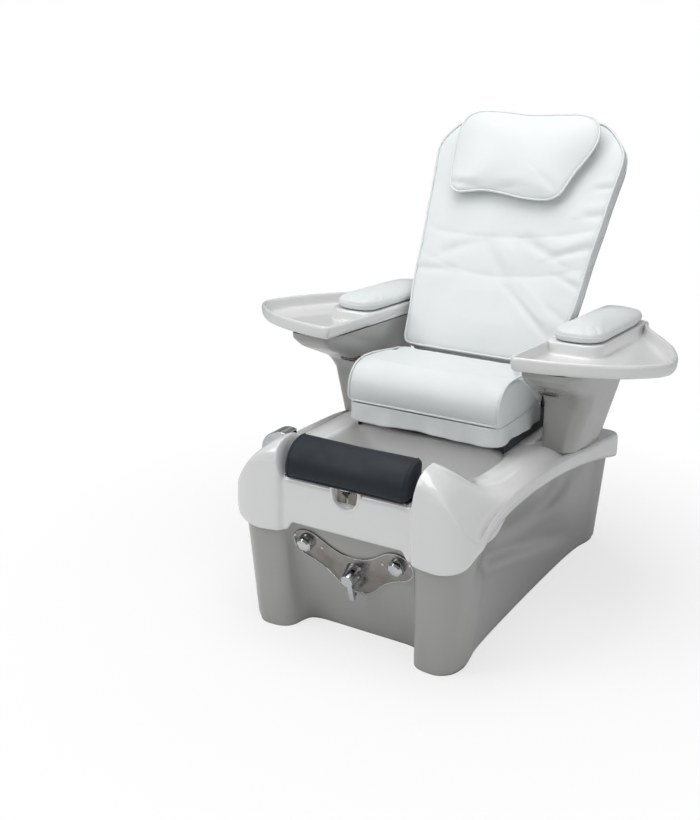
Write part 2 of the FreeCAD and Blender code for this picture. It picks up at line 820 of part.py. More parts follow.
def panel_placement(x, height):
    """On the front panel, local Z out along its normal and local Y up its slope."""
    turn = FreeCAD.Rotation(Vector(1, 0, 0), 90 + panel_angle())
    return FreeCAD.Placement(Vector(x, panel_y(height), height), turn)


def plate_outline(grow):
    """Butterfly plate: two round ends and a rounded low middle, about the knob line."""
    side = s.plate_half_width + grow
    up = (s.plate_high - s.knob_height) + grow
    low = s.knob_height - s.plate_low + grow
    return both_sides([
        (22, -low, 20),
        (75 + grow, -low + 34, 30),
        (105 + grow / 2, -58 - grow, 40),
        (side, -46 - grow, 44),
        (side, up, 40),
        (105 - grow / 2, up, 40),
        (40, -14 + grow, 50),
    ])


def plate_screw_places():
    """The four screws of the control plate, in its own plane."""
    return ((-s.knob_side - 38, 12), (-s.knob_side + 50, -10), (s.knob_side - 50, -10), (s.knob_side + 38, 12))


def make_controls():
    """Control plate, valves behind it, and the two knobs and the lever on it."""
    lean = FreeCAD.Placement(panel_placement(0, s.knob_height))
    face = slab(plate_outline(0), 0, s.plate_thickness)
    diverter_drop = (s.diverter_height - s.knob_height) / math.cos(math.radians(panel_angle()))
    for x, v in ((-s.knob_side, 0), (s.knob_side, 0), (0, diverter_drop)):
        face = face.cut(Part.makeCylinder(s.stem_radius + 1, 20, Vector(x, v, -5)))
    screws = []
    for x, v in plate_screw_places():
        head = Part.makeCylinder(4, 2, Vector(x, v, s.plate_thickness))
        shank = Part.makeCylinder(s.plate_screw_radius, s.plate_thickness + s.shell_wall + 4,
                                  Vector(x, v, -s.shell_wall - 4))
        face = face.cut(Part.makeCylinder(s.plate_screw_radius + s.running_fit, 20, Vector(x, v, -5)))
        screws.append(head.fuse(shank))
    named(feature(face, lean), "control_plate")
    named(feature(Part.makeCompound(screws), lean), "control_plate_screws")
    valves = {}
    for label, x, v, length in (("hot", -s.knob_side, 0, s.valve_length), ("cold", s.knob_side, 0, s.valve_length),
                                ("diverter", 0, diverter_drop, s.diverter_valve_length)):
        valve = Part.makeCylinder(s.valve_radius, length, Vector(x, v, -length))
        valve = valve.cut(Part.makeCylinder(s.stem_radius + s.running_fit, length / 2 + 1, Vector(x, v, -length / 2)))
        valve.Placement = lean
        valves[label] = valve
        named(feature(valve), f"{label}_valve")
    face_of_grip = "plate_thickness + 1"
    profile = [("0", "1 - valve_length / 2"), ("stem_radius", "1 - valve_length / 2"), ("stem_radius", face_of_grip),
               ("knob_radius", face_of_grip), ("knob_radius", f"{face_of_grip} + 0.45 * knob_length"),
               ("0.93 * knob_radius", f"{face_of_grip} + 0.68 * knob_length"),
               ("0.74 * knob_radius", f"{face_of_grip} + 0.85 * knob_length"),
               ("0.42 * knob_radius", f"{face_of_grip} + 0.96 * knob_length"),
               ("0", f"{face_of_grip} + knob_length")]
    for label, x in (("hot", "-knob_side"), ("cold", "knob_side")):
        knob = turned(profile, (x, PANEL_Y, "knob_height"), ("1; 0; 0", PANEL_LEAN))
        named(knob, f"{label}_knob")
    stem = Part.makeCylinder(s.stem_radius, s.diverter_valve_length / 2 + s.plate_thickness,
                             Vector(0, diverter_drop, 1 - s.diverter_valve_length / 2))
    hub = Part.makeCone(s.diverter_radius, s.diverter_radius * 0.6, s.diverter_length,
                        Vector(0, diverter_drop, s.plate_thickness + 1))
    tail = Part.makeBox(16, 60, 10, Vector(-8, diverter_drop - 76, s.diverter_length - 16))
    tip = Part.makeCylinder(6, 12, Vector(0, diverter_drop - 70, s.diverter_length - 28))
    neck = Part.makeBox(16, 30, 18, Vector(-8, diverter_drop - 36, s.diverter_length - 24))
    named(feature(stem.fuse([hub, tail, tip, neck]), lean), "diverter_lever")
    return valves


def rim_height(y):
    """Height of the tub's rim at a depth, between lobe and deck."""
    edge = sorted(deck_edge(0)[1:-1])
    for (near_y, near_z), (far_y, far_z) in zip(edge, edge[1:]):
        if near_y <= y <= far_y:
            return near_z + (far_z - near_z) * (y - near_y) / (far_y - near_y)
    return s.deck_front_height


def make_spout():
    """Waterfall hood: it rises off the rim's outer slope and opens toward the basin."""
    fall = (s.lobe_top + 4 - s.lobe_shoulder_height) / (s.tub_half_width + 2 - s.lobe_crest_side)
    foot = s.lobe_top + 4 - fall * (s.spout_side - s.lobe_crest_side)
    front = -s.spout_reach - s.spout_width / 2
    middle = s.spout_height - s.spout_side
    along = Vector(0, 1, 0)
    hood = Part.makeCylinder(s.spout_height, s.spout_width, Vector(middle, front, foot), along)
    hollow = Part.makeCylinder(s.spout_height - s.spout_wall, s.spout_width - 2 * s.spout_wall,
                               Vector(middle, front + s.spout_wall, foot), along)
    keep = Part.makeBox(s.spout_throw, s.spout_width, s.spout_height, Vector(-s.spout_side, front, foot))
    named(feature(hood.cut(hollow).common(keep).cut(tub_body(0, 0))), "waterfall_spout")


def make_supplies(valves):
    """Hot and cold pipes from the rear to their valves, the spout's pipe and the power inlet."""
    rear = s.shell_rear + s.pipe_tail
    high = s.inlet_height
    foot_x = s.shell_foot_inner + 62
    foot_y = s.shell_foot_reach - 28
    behind = -panel_y(s.knob_height) - 22
    turns = {
        "hot": [(-s.hot_inlet_side, -s.frame_reach + 30, high), (-foot_x, -foot_y, high),
                (-foot_x, -foot_y, s.knob_height), (-foot_x + 35, -behind, s.knob_height),
                (-s.knob_side, -behind, s.knob_height)],
        "cold": [(-s.cold_inlet_side, -s.frame_reach + 70, high), (s.hot_inlet_side, -s.frame_reach + 70, high),
                 (foot_x, -foot_y, high), (foot_x, -foot_y, s.knob_height),
                 (foot_x - 35, -behind, s.knob_height), (s.knob_side, -behind, s.knob_height)],
    }
    for label, route in turns.items():
        side = route[0][0]
        tail = Part.makeCylinder(s.inlet_radius, s.pipe_tail + 30, Vector(side, rear, high), Vector(0, -1, 0))
        path = [(side, rear - s.pipe_tail - 30, high)] + route
        run = pipe(path, s.supply_pipe_radius, 1.6 * s.supply_pipe_radius).cut(valves[label])
        run = max(run.Solids, key=lambda solid: solid.Volume)
        collar = tail_collar(side, high, s.inlet_radius)
        named(feature(run.fuse([tail, collar])), f"{label}_supply_pipe")
    rim = rim_height(-s.spout_reach + s.spout_pipe_radius)
    cross = s.skirt_low + 34
    path = [(-s.spout_pipe_side, -s.spout_reach, rim), (-s.spout_pipe_side, -s.spout_reach, cross),
            (-s.spout_pipe_side + 40, -s.tub_panel_reach + 55, cross), (0, -s.tub_panel_reach + 55, cross),
            (0, panel_y(s.diverter_height) + 14, s.diverter_height)]
    run = pipe(path, s.spout_pipe_radius, 1.6 * s.spout_pipe_radius).cut(valves["diverter"])
    run = max(run.Solids, key=lambda solid: solid.Volume)
    named(feature(run), "spout_pipe")
    named(block(("power_inlet_side", "shell_rear - 40", "inlet_height - power_inlet_height / 2"),
                ("power_inlet_width", "40", "power_inlet_height")), "power_inlet")


# Columns and arms

def tray_underside(y):
    """Height of the tray's underside over the base at a depth."""
    lean = math.radians(s.arm_tilt)
    return s.arm_axis_z + s.arm_pin_drop / math.cos(lean) - (y - s.arm_axis_y) * math.tan(lean)


def column_side(inset):
    """The column's side view: upright with a corbel reaching forward under the tray."""
    gap = s.soft_gap + inset
    front = -s.column_reach + inset
    return [
        (front, 0),
        (s.column_rear - inset, 0),
        (s.column_rear - inset, tray_underside(s.column_rear) - gap),
        (-s.corbel_reach + inset, tray_underside(-s.corbel_reach) - gap),
        (-s.corbel_reach + inset, tray_underside(-s.corbel_reach) - s.corbel_lip - gap + 2 * inset / 5),
        (front, s.corbel_bottom + inset / 2),
    ]


def column_plan(inset, spread):
    """The column's plan, spreading outward with height."""
    outer = s.column_foot_half_width + spread
    rear_outer = outer + 16
    return [
        (s.column_inner + inset, -s.corbel_reach - 40 + inset, 18),
        (outer - 30 - inset, -s.corbel_reach - 40 + inset, 18),
        (outer - inset, 20, 30),
        (rear_outer - inset, s.column_rear - inset, 22),
        (s.column_inner + inset, s.column_rear - inset, 12),
    ]


def column_form(inset):
    """Side view and spreading plan combined."""
    low = s.deck_rear_height - 80
    high = tray_underside(-s.corbel_reach) + 40
    spread = s.column_head_half_width - s.column_foot_half_width
    share = (high - low) / (s.arm_axis_z - low)
    body = loft([rounded_wire(column_plan(inset, 0), flat(low)),
                 rounded_wire(column_plan(inset, spread * share), flat(high))])
    corners = [(y, z, 0) for y, z in column_side(inset)]
    side = prism(corners, sideways(0), Vector(s.column_head_half_width + 200, 0, 0))
    return body.common(side)


def under_deck(rise):
    """Everything below the deck's top line, raised a little."""
    edge = [(y, z + rise) for y, z in deck_edge(0)[1:-2]]
    corners = edge + [(-s.tub_reach - 200, 500 + rise), (-s.tub_reach - 200, -50), (s.tub_rear + 300, -50),
                      (s.tub_rear + 300, s.deck_rear_height + rise)]
    return side_solid(corners, s.tub_rear_half_width + 300)


def latch_frame():
    """On the corbel's sloping face: local Z points out of it, local Y up it."""
    front = -s.column_reach
    rise = tray_underside(-s.corbel_reach) - s.corbel_lip - s.soft_gap - s.corbel_bottom
    run = s.corbel_reach + front
    slope = math.degrees(math.atan2(run, rise))
    down = 46
    y = front - down * math.sin(math.radians(slope))
    z = s.corbel_bottom + down * math.cos(math.radians(slope))
    return FreeCAD.Placement(Vector(s.latch_side, y, z), FreeCAD.Rotation(Vector(1, 0, 0), 90 + slope))


def make_column():
    """One hollow column on the deck, with a pocket for the latch lever."""
    floor = s.column_wall * 2
    outer = column_form(0).cut(under_deck(0))
    inner = column_form(s.column_wall).cut(under_deck(floor))
    opening = Part.makeBox(40, 150, 400, Vector(s.column_inner + 24, 150, s.deck_rear_height - 100))
    opening = opening.cut(centred_block(900, -900, 900, s.corbel_bottom - 60, 1200))
    column = outer.cut(inner).cut(opening)
    frame = latch_frame()
    pocket = slab([(-s.latch_width / 2, 0, 0), (0, -s.latch_opening / 2 - 4, 30), (s.latch_width / 2, 0, 0),
                   (0, s.latch_opening / 2 + 4, 30)], -s.latch_depth, 6)
    liner = slab([(-s.latch_width / 2 - 8, 0, 0), (0, -s.latch_opening / 2 - 10, 30),
                  (s.latch_width / 2 + 8, 0, 0), (0, s.latch_opening / 2 + 10, 30)], -s.latch_depth - 4, -1)
    pocket.Placement = frame
    liner.Placement = frame
    column = column.fuse(liner.common(column_form(0))).cut(pocket)
    return column.cut([bolt_hole(s.column_bolt_side, y) for y in bolt_places()])


def make_latch():
    """Loop lever in the pocket, on its cross pin."""
    half = s.latch_width * 0.27
    loop = slab([(-half, -8, 4), (half, -8, 4), (half, 2, 3), (-half, 2, 3)], -4, -1)
    hole = slab([(-half + 5, -5, 2), (half - 5, -5, 2), (half - 5, -1.5, 1), (-half + 5, -1.5, 1)], -10, 5)
    pin = Part.makeCylinder(2, 2 * half + 8, Vector(-half - 4, 2, -2.5), Vector(1, 0, 0))
    return loop.cut(hole).fuse(pin)


def tray_plan(inset):
    """The tray's plan in the arm's frame: a rounded wing beside a straight inner edge."""
    tip = s.tray_tip_side - inset
    return [
        (s.tray_inner + inset, -s.tray_reach + inset, 10),
        (470, -s.tray_reach + 32 + inset, 200),
        (610 - inset * 0.6, -s.tray_reach + 114 + inset * 0.7, 120),
        (tip, -376, 55),
        (672 - inset, -250, 110),
        (572 - inset * 0.8, -60, 140),
        (474 - inset, 64, 70),
        (462 - inset, s.tray_rear - inset, 30),
        (s.arm_rear_inner + inset, s.tray_rear - inset, 8),
        (s.tray_inner + inset, 0, 60),
    ]


def make_tray():
    """Arm moulding: rimmed dish, pad platform hollow below, and two hinge lugs."""
    bottom = s.arm_pin_drop
    top = bottom + s.tray_rim_height
    body = slab(tray_plan(0), bottom, top)
    dish = slab(tray_plan(s.tray_rim_width), bottom + s.tray_floor, top + 5)
    platform = slab([(s.tray_inner - 5, -s.pad_reach - 6, 5), (s.pad_outer + 10, -s.pad_reach - 6, 60),
                     (s.pad_outer + 10, s.tray_rear + 20, 5), (s.tray_inner - 5, s.tray_rear + 20, 5)],
                    bottom, top)
    hollow = slab([(s.tray_inner + 10, -s.pad_reach + 8, 10), (s.pad_outer - 8, -s.pad_reach + 8, 50),
                   (s.pad_outer - 8, -30, 10), (s.tray_inner + 10, -30, 10)],
                  bottom - 1, top - s.tray_floor)
    rear_hollow = slab([(s.arm_rear_inner + 10, 30, 10), (s.pad_outer - 12, 30, 10),
                        (s.pad_outer - 16, s.tray_rear - 12, 20), (s.arm_rear_inner + 10, s.tray_rear - 12, 10)],
                       bottom - 1, top - s.tray_floor)
    tray = body.cut(dish.cut(platform)).cut(hollow).cut(rear_hollow)
    for x in (330, 428):
        lug = Part.makeBox(12, 24, s.arm_pin_drop + 1, Vector(x, -12, 0))
        round_end = Part.makeCylinder(12, 12, Vector(x, 0, 0), Vector(1, 0, 0))
        tray = tray.fuse(lug).fuse(round_end)
    bore = Part.makeCylinder(s.arm_pin_radius + s.running_fit, 140, Vector(322, 0, 0), Vector(1, 0, 0))
    return tray.cut(bore)


def make_hinge():
    """Bracket on the column's rear face, its barrel and the pin through it."""
    gap = s.arm_axis_y - s.column_rear
    plate = Part.makeBox(78, 5, 44, Vector(346, -gap, -40))
    web = Part.makeBox(78, gap, 12, Vector(346, -gap, -10))
    barrel = Part.makeCylinder(11, 78, Vector(346, 0, 0), Vector(1, 0, 0))
    pin = Part.makeCylinder(s.arm_pin_radius, 120, Vector(325, 0, 0), Vector(1, 0, 0))
    return plate.fuse([web, barrel, pin])


def make_arm_pad():
    """Arm pad: flat bottom, drawn-in sides and a crowned top, rounded in plan."""
    bottom = s.arm_pin_drop + s.tray_rim_height + s.soft_gap

    def outline(inset, corner):
        return [(s.pad_inner + inset, -s.pad_reach + inset, corner * 0.5),
                (s.pad_outer - inset, -s.pad_reach + inset, corner),
                (s.pad_outer - inset, 20, 80),
                (s.pad_outer - 12 - inset, s.pad_rear - inset, corner * 0.8),
                (s.arm_rear_inner + 4 + inset, s.pad_rear - inset, corner * 0.4),
                (s.pad_inner + inset, 0, 60)]

    levels = ((0, 5, 60), (0.1, 2, 63), (0.45, 0, 66), (0.72, 1, 66), (0.86, 6, 62), (0.95, 16, 54), (1, 34, 40))
    wires = [rounded_wire(outline(inset, corner), flat(bottom + s.pad_height * share))
             for share, inset, corner in levels]
    return loft(wires)


def make_arms():
    """Both columns, hinges, latches, trays and pads."""
    column = make_column()
    bolts = []
    for x in (-s.column_bolt_side, s.column_bolt_side):
        for y in bolt_places():
            shank = Part.makeCylinder(s.column_bolt_radius, s.tub_wall + 2 * s.column_wall, Vector(0, 0, -s.tub_wall))
            head = Part.makeCylinder(9, 7, Vector(0, 0, -s.tub_wall - 7))
            bolt = head.fuse(shank)
            bolt.Placement = across_deck(x, y)
            bolts.append(bolt)
    named(feature(Part.makeCompound(bolts)), "column_bolts")
    for label, flip in (("left", False), ("right", True)):
        pieces = (
            ("arm_column", feature(column)),
            ("arm_hinge", feature(make_hinge(), FreeCAD.Placement(Vector(0, s.arm_axis_y, s.arm_axis_z),
                                                                  FreeCAD.Rotation()))),
            ("latch_lever", feature(make_latch(), latch_frame())),
            ("arm_tray", feature(make_tray(), arm_place)),
            ("arm_pad", feature(make_arm_pad(), arm_place)),
        )
        for name, item in pieces:
            named(mirrored(item) if flip else item, f"{label}_{name}")


# Footrest

def make_footrest():
    """Padded roll on its plate and tongue, and the clamp knob that holds its height."""
    rear = -s.footrest_reach + s.footrest_depth
    bottom = s.front_wall_top + s.slide_gap
    plate_top = bottom + s.footrest_plate
    tongue_y = -s.tub_panel_reach + s.notch_depth - s.slide_gap - s.tongue_thickness
    tongue = block(("-tongue_half_width", str(tongue_y), "tongue_bottom"),
                   ("2 * tongue_half_width", "tongue_thickness", "front_wall_top + slide_gap - tongue_bottom"))
    slot = block(("-clamp_stud_radius - 0.5", str(tongue_y - 1), "clamp_height - 35"),
                 ("2 * clamp_stud_radius + 1", "tongue_thickness + 2", "35 + clamp_stud_radius + 1"))
    plate = block(("-footrest_half_width + 8", "-footrest_reach + 6", "front_wall_top + slide_gap"),
                  ("2 * footrest_half_width - 16", "footrest_depth - 12", "footrest_plate"))
    named(joined(cut(tongue, slot), plate), "footrest_bracket")
    radius = s.footrest_height / 2
    stations = ((-1, 5), (-0.985, 1), (-0.96, 0), (0.96, 0), (0.985, 1), (1, 5))
    wires = []
    for share, inset in stations:
        x = share * s.footrest_half_width
        front = -s.footrest_reach + inset
        back = rear - inset
        top = bottom + s.footrest_height - inset
        low = plate_top + s.soft_gap
        middle = (front + back) / 2
        shoulder = low + 14
        tip = math.sqrt(0.5)
        half = (back - front) / 2
        rise = top - shoulder
        a = Vector(x, front + 2, low)
        b = Vector(x, front, shoulder)
        c = Vector(x, middle, top)
        d = Vector(x, back, shoulder)
        e = Vector(x, back - 2, low)
        wires.append(Part.Wire([
            Part.LineSegment(e, a).toShape(),
            Part.LineSegment(a, b).toShape(),
            Part.Arc(b, Vector(x, middle - half * tip, shoulder + rise * tip), c).toShape(),
            Part.Arc(c, Vector(x, middle + half * tip, shoulder + rise * tip), d).toShape(),
            Part.LineSegment(d, e).toShape(),
        ]))
    named(feature(loft(wires)), "footrest_cushion")
    along = Vector(0, 1, 0)
    stud = Part.makeCylinder(s.clamp_stud_radius, s.tongue_thickness + s.tub_wall + 12,
                             Vector(0, tongue_y - 3, s.clamp_height), along)
    grip = Part.makeCylinder(s.clamp_knob_radius, 9, Vector(0, tongue_y - 9 - s.slide_gap, s.clamp_height), along)
    flutes = []
    for turn in range(6):
        angle = math.pi * turn / 3
        away = Vector(math.cos(angle), 0, math.sin(angle)) * (s.clamp_knob_radius + 1)
        flutes.append(Part.makeCylinder(3, 20, Vector(0, tongue_y - 14, s.clamp_height) + away, along))
    named(feature(grip.cut(flutes).fuse(stud)), "footrest_clamp_knob")


# Seat

def make_seat():
    """Rails, carriage, pan, cushion and hanging skirt."""
    for label, x in (("left", "rail_side - rail_width / 2"), ("right", "-rail_side - rail_width / 2")):
        named(block((x, "rail_front", "plinth_top"), ("rail_width", "rail_rear - rail_front", "rail_height")),
              f"{label}_seat_rail")
    low = "plinth_top + rail_height + slide_gap"
    top = f"{low} + carriage_height"
    runner_low = "plinth_top + 4"
    pieces = []
    for sign in ("-", ""):
        x = "-carriage_half_width" if sign else "carriage_half_width - 30"
        pieces.append(block((x, "-carriage_reach", low),
                            ("30", "carriage_reach + carriage_rear", "carriage_height")))
        edge = "-carriage_half_width - 6" if sign else "carriage_half_width"
        pieces.append(block((edge, "-carriage_reach", runner_low),
                            ("6", "carriage_reach + carriage_rear",
                             "rail_height + slide_gap - 4 + carriage_height")))
        ear = "-carriage_half_width" if sign else "carriage_half_width - carriage_plate"
        pieces.append(block((ear, "recline_pivot_y - 22", top),
                            ("carriage_plate", "44", f"recline_pivot_z + 16 - ({top})")))
    pieces.append(block(("-carriage_half_width", "-carriage_reach", low),
                        ("2 * carriage_half_width", "carriage_plate", "carriage_height")))
    pieces.append(block(("-carriage_half_width", "carriage_rear - carriage_plate", low),
                        ("2 * carriage_half_width", "carriage_plate", "carriage_height")))
    frame = joined(*pieces)
    bore = rod(("-carriage_half_width - 20", "recline_pivot_y", "recline_pivot_z"),
               "recline_pin_radius + running_fit", "2 * carriage_half_width + 40", "X")
    named(cut(frame, bore), "seat_carriage")
    pins = [rod((x, "recline_pivot_y", "recline_pivot_z"), "recline_pin_radius",
                "carriage_half_width + 6 - back_lug_side + 6", "X")
            for x in ("back_lug_side - 6", "-carriage_half_width - 6")]
    named(grouped(*pins), "recline_pivot_pins")
    corners = [("-pan_half_width", "-carriage_reach - 36"), ("pan_half_width", "-carriage_reach - 36"),
               ("pan_half_width", "pan_rear"), ("-pan_half_width", "pan_rear")]
    named(padded(corners, "pan_thickness", ("0", "0", top)), "seat_pan")
    named(feature(make_seat_cushion()), "seat_cushion")
    named(feature(make_seat_skirt()), "seat_skirt")
    actuator = block(("-actuator_side / 2", "-carriage_reach + carriage_plate", f"{low} + 2"),
                     ("actuator_side", "190", "carriage_height - 8"))
    rod_z = "recline_pivot_z - recline_lever"
    bore = rod(("0", "0", rod_z), "rod_radius + running_fit", "200", "Y")
    named(cut(actuator, bore), "recline_actuator")
    make_recline_rod(rod_z)


def make_recline_rod(rod_z):
    """Actuator rod: its fork holds a cross pin that rides in the back's lever."""
    pin_y = "(recline_pivot_y + recline_lever * tan(lever_offset))"
    shaft = rod(("0", "60", rod_z), "rod_radius", f"{pin_y} - 30 - 60", "Y")
    yoke = block(("-14", f"{pin_y} - 54", f"{rod_z} - 9"), ("28", "26", "18"))
    cheeks = [block((x, f"{pin_y} - 30", f"{rod_z} - 9"), ("5", "40", "18")) for x in ("9", "-14")]
    pin = rod(("-14", pin_y, rod_z), "rod_pin_radius", "28", "X")
    named(joined(shaft, yoke, *cheeks, pin), "recline_rod")


def seat_bottom():
    """Height of the seat cushion's flat underside."""
    return (s.plinth_top + s.rail_height + s.slide_gap + s.carriage_height + s.pan_thickness + s.soft_gap)


def make_seat_cushion():
    """Seat cushion: waterfall front, crowned top, sides drawn in below the seam."""
    bottom = seat_bottom()
    top = bottom + s.seat_thickness
    stations = ((-1, -34, 8), (-0.985, -22, 3), (-0.94, -12, 0), (-0.6, 6, 0), (0, 16, 0),
                (0.6, 6, 0), (0.94, -12, 0), (0.985, -22, 3), (1, -34, 8))
    wires = []
    for share, rise, inset in stations:
        x = share * s.seat_half_width
        crest = top + rise * s.seat_crown / 16
        rear_top = crest - 24
        front = -s.seat_reach + inset
        rear = s.seat_rear - inset
        seam = bottom + 30
        a = Vector(x, front + 7, bottom)
        b = Vector(x, front, seam)
        shoulder = Vector(x, front + 70, crest - 6)
        round_front = Vector(x, front + 14, seam + (crest - seam) * 0.62)
        d = Vector(x, rear - 12, rear_top)
        e = Vector(x, rear, rear_top - 14)
        wires.append(Part.Wire([
            Part.LineSegment(a, b).toShape(),
            Part.Arc(b, round_front, shoulder).toShape(),
            Part.Arc(shoulder, Vector(x, (front + rear) / 2, crest), d).toShape(),
            Part.LineSegment(d, e).toShape(),
            Part.LineSegment(e, Vector(x, rear, bottom)).toShape(),
            Part.LineSegment(Vector(x, rear, bottom), a).toShape(),
        ]))
    whole = loft(wires)
    lower = centred_block(s.seat_half_width - 6, -s.seat_reach - 20, s.seat_rear + 20, bottom - 5, bottom + 26)
    trim = centred_block(s.seat_half_width + 30, -s.seat_reach - 40, s.seat_rear + 40, bottom - 5, bottom + 26)
    return whole.cut(trim.cut(lower))


def make_seat_skirt():
    """Hanging flap under the seat's front and side seams, lower at the front."""
    side = s.seat_half_width - 6 + s.soft_gap
    front = s.seat_reach + s.soft_gap
    high = seat_bottom() + 25
    low = seat_bottom() - s.skirt_drop
    outer = centred_block(side + s.skirt_thickness, -front - s.skirt_thickness, s.pan_rear, low, high)
    inner = centred_block(side, -front, s.pan_rear + 10, low - 5, high + 5)
    raised = centred_block(side + 20, -s.carriage_reach, s.pan_rear + 10, low - 5, seat_bottom() - 14)
    return outer.cut(inner).cut(raised)


# Back

def back_stations():
    """Height up the back and half width there, bottom to top."""
    rise = s.back_top - s.back_bottom
    low = s.back_bottom
    return [
        (low, s.back_bottom_half_width - 22),
        (low + 0.012 * rise, s.back_bottom_half_width - 6),
        (low + 0.035 * rise, s.back_bottom_half_width),
        (low + 0.1 * rise, s.back_bottom_half_width + 8),
        (low + 0.2 * rise, s.back_low_half_width),
        (low + 0.48 * rise, s.back_low_half_width + 2),
        (low + 0.6 * rise, s.back_mid_half_width),
        (low + 0.76 * rise, s.back_high_half_width - 6),
        (low + 0.84 * rise, s.back_high_half_width),
        (low + 0.875 * rise, s.back_high_half_width - 7),
        (low + 0.92 * rise, s.back_high_half_width - 37),
        (low + 0.965 * rise, s.back_high_half_width - 66),
        (low + 0.99 * rise, s.back_top_half_width + 18),
        (s.back_top, s.back_top_half_width),
    ]


def make_back_cushion():
    """Back cushion: crowned face, sides drawn in behind the seam."""
    wires = []
    last = len(back_stations()) - 1
    for index, (z, half) in enumerate(back_stations()):
        end = index in (0, last)
        near_end = index in (1, last - 1)
        crown = 2 if end else s.cushion_crown * (0.7 if near_end else 1)
        seam = 8 if end else (2 if near_end else 0)
        depth = s.cushion_depth - s.soft_gap
        a = Vector(-half, seam, z)
        b = Vector(half, seam, z)
        c = Vector(half - 4, depth, z)
        d = Vector(-half + 4, depth, z)
        wires.append(Part.Wire([
            Part.Arc(a, Vector(0, -crown + seam, z), b).toShape(),
            Part.Arc(b, Vector(half - 5, (seam + depth) / 2, z), c).toShape(),
            Part.LineSegment(c, d).toShape(),
            Part.Arc(d, Vector(-half + 5, (seam + depth) / 2, z), a).toShape(),
        ]))
    return loft(wires)


def back_shell_form(inset, front, rear, grow_low):
    """The rear shell's tray form over the back's stations."""
    wires = []
    stations = back_stations()[2:-1]
    for index, (z, half) in enumerate(stations):
        side = half - s.shell_inset - inset
        height = z
        if index == 0:
            height = z - grow_low
        if index == len(stations) - 1:
            height = z - inset
        narrow = side - 30
        wires.append(rounded_wire([(-side, front, 0), (side, front, 0), (narrow, rear, 24), (-narrow, rear, 24)],
                                  flat(height)))
    return loft(wires)


def make_back_shell():
    """Rear cover of the back, open to the cushion and below."""
    front = s.cushion_depth
    rear = s.cushion_depth + s.shell_depth
    wall = s.back_shell_wall
    outer = back_shell_form(0, front, rear, 0)
    inner = back_shell_form(wall, front - 1, rear - wall, 10)
    return outer.cut(inner)


def make_back_frame():
    """Welded tube frame with pivot lugs, the actuator's lever and the massage rails."""
    depth = s.cushion_depth + s.shell_depth - s.back_shell_wall - 7
    tube = s.back_tube
    near = depth - tube
    side = s.back_tube_side
    low = 0
    high = s.back_top - 80
    pieces = [Part.makeBox(tube, tube, high - low, Vector(x, near, low)) for x in (side, -side - tube)]
    lug = s.back_lug_side
    pieces.append(Part.makeBox(2 * lug, tube, tube, Vector(-lug, near, low)))
    pieces.append(Part.makeBox(2 * side, tube, tube, Vector(-side, near, high - tube)))
    for sign in (1, -1):
        x = sign * s.massage_rail_side - s.massage_rail_width / 2
        pieces.append(Part.makeBox(s.massage_rail_width, s.massage_rail_depth, high,
                                   Vector(x, near - s.massage_rail_depth, low)))
    pivot = local_back(s.recline_pivot_y, s.recline_pivot_z)
    for x in (lug, -lug - s.carriage_plate):
        corners = [(pivot.x - 14, pivot.y - 14, 13), (pivot.x + 18, pivot.y - 14, 13), (depth, low - 44, 10),
                   (depth, low + tube, 4), (near, low + tube, 4), (near - 4, low - 24, 20),
                   (pivot.x - 14, pivot.y + 14, 13)]
        pieces.append(prism(corners, sideways(x), Vector(s.carriage_plate, 0, 0)))
    offset = math.radians(s.lever_offset)
    pin = local_back(s.recline_pivot_y + s.recline_lever * math.tan(offset), s.recline_pivot_z - s.recline_lever)
    pieces.append(Part.makeBox(12, 36, low - pin.y + 18 + 5, Vector(-6, pin.x - 18, pin.y - 18)))
    pieces.append(Part.makeBox(12, depth - pin.x + 18, 14, Vector(-6, pin.x - 18, low)))
    frame = pieces[0].fuse(pieces[1:])
    bore = Part.makeCylinder(s.recline_pin_radius + s.running_fit, 4 * lug,
                             Vector(-2 * lug, pivot.x, pivot.y), Vector(1, 0, 0))
    toward = Vector(0, pivot.x - pin.x, pivot.y - pin.y).normalize()
    slot_radius = s.rod_pin_radius + s.rod_pin_play
    ends = [Vector(0, pin.x, pin.y) + toward * reach for reach in (-9, 5)]
    slot = [Part.makeCylinder(slot_radius, 60, end - Vector(30, 0, 0), Vector(1, 0, 0)) for end in ends]
    across = toward.cross(Vector(1, 0, 0)).normalize() * slot_radius
    run = Part.makePolygon([ends[0] + across, ends[1] + across, ends[1] - across, ends[0] - across,
                            ends[0] + across])
    run.translate(Vector(-30, 0, 0))
    slot.append(Part.Face(run).extrude(Vector(60, 0, 0)))
    return frame.cut(bore).cut(slot)


def local_back(y, z):
    """A base-frame depth and height as (depth, height) in the back's own frame."""
    point = back_place.inverse().multVec(Vector(0, y, z))
    return Vector(point.y, point.z, 0)


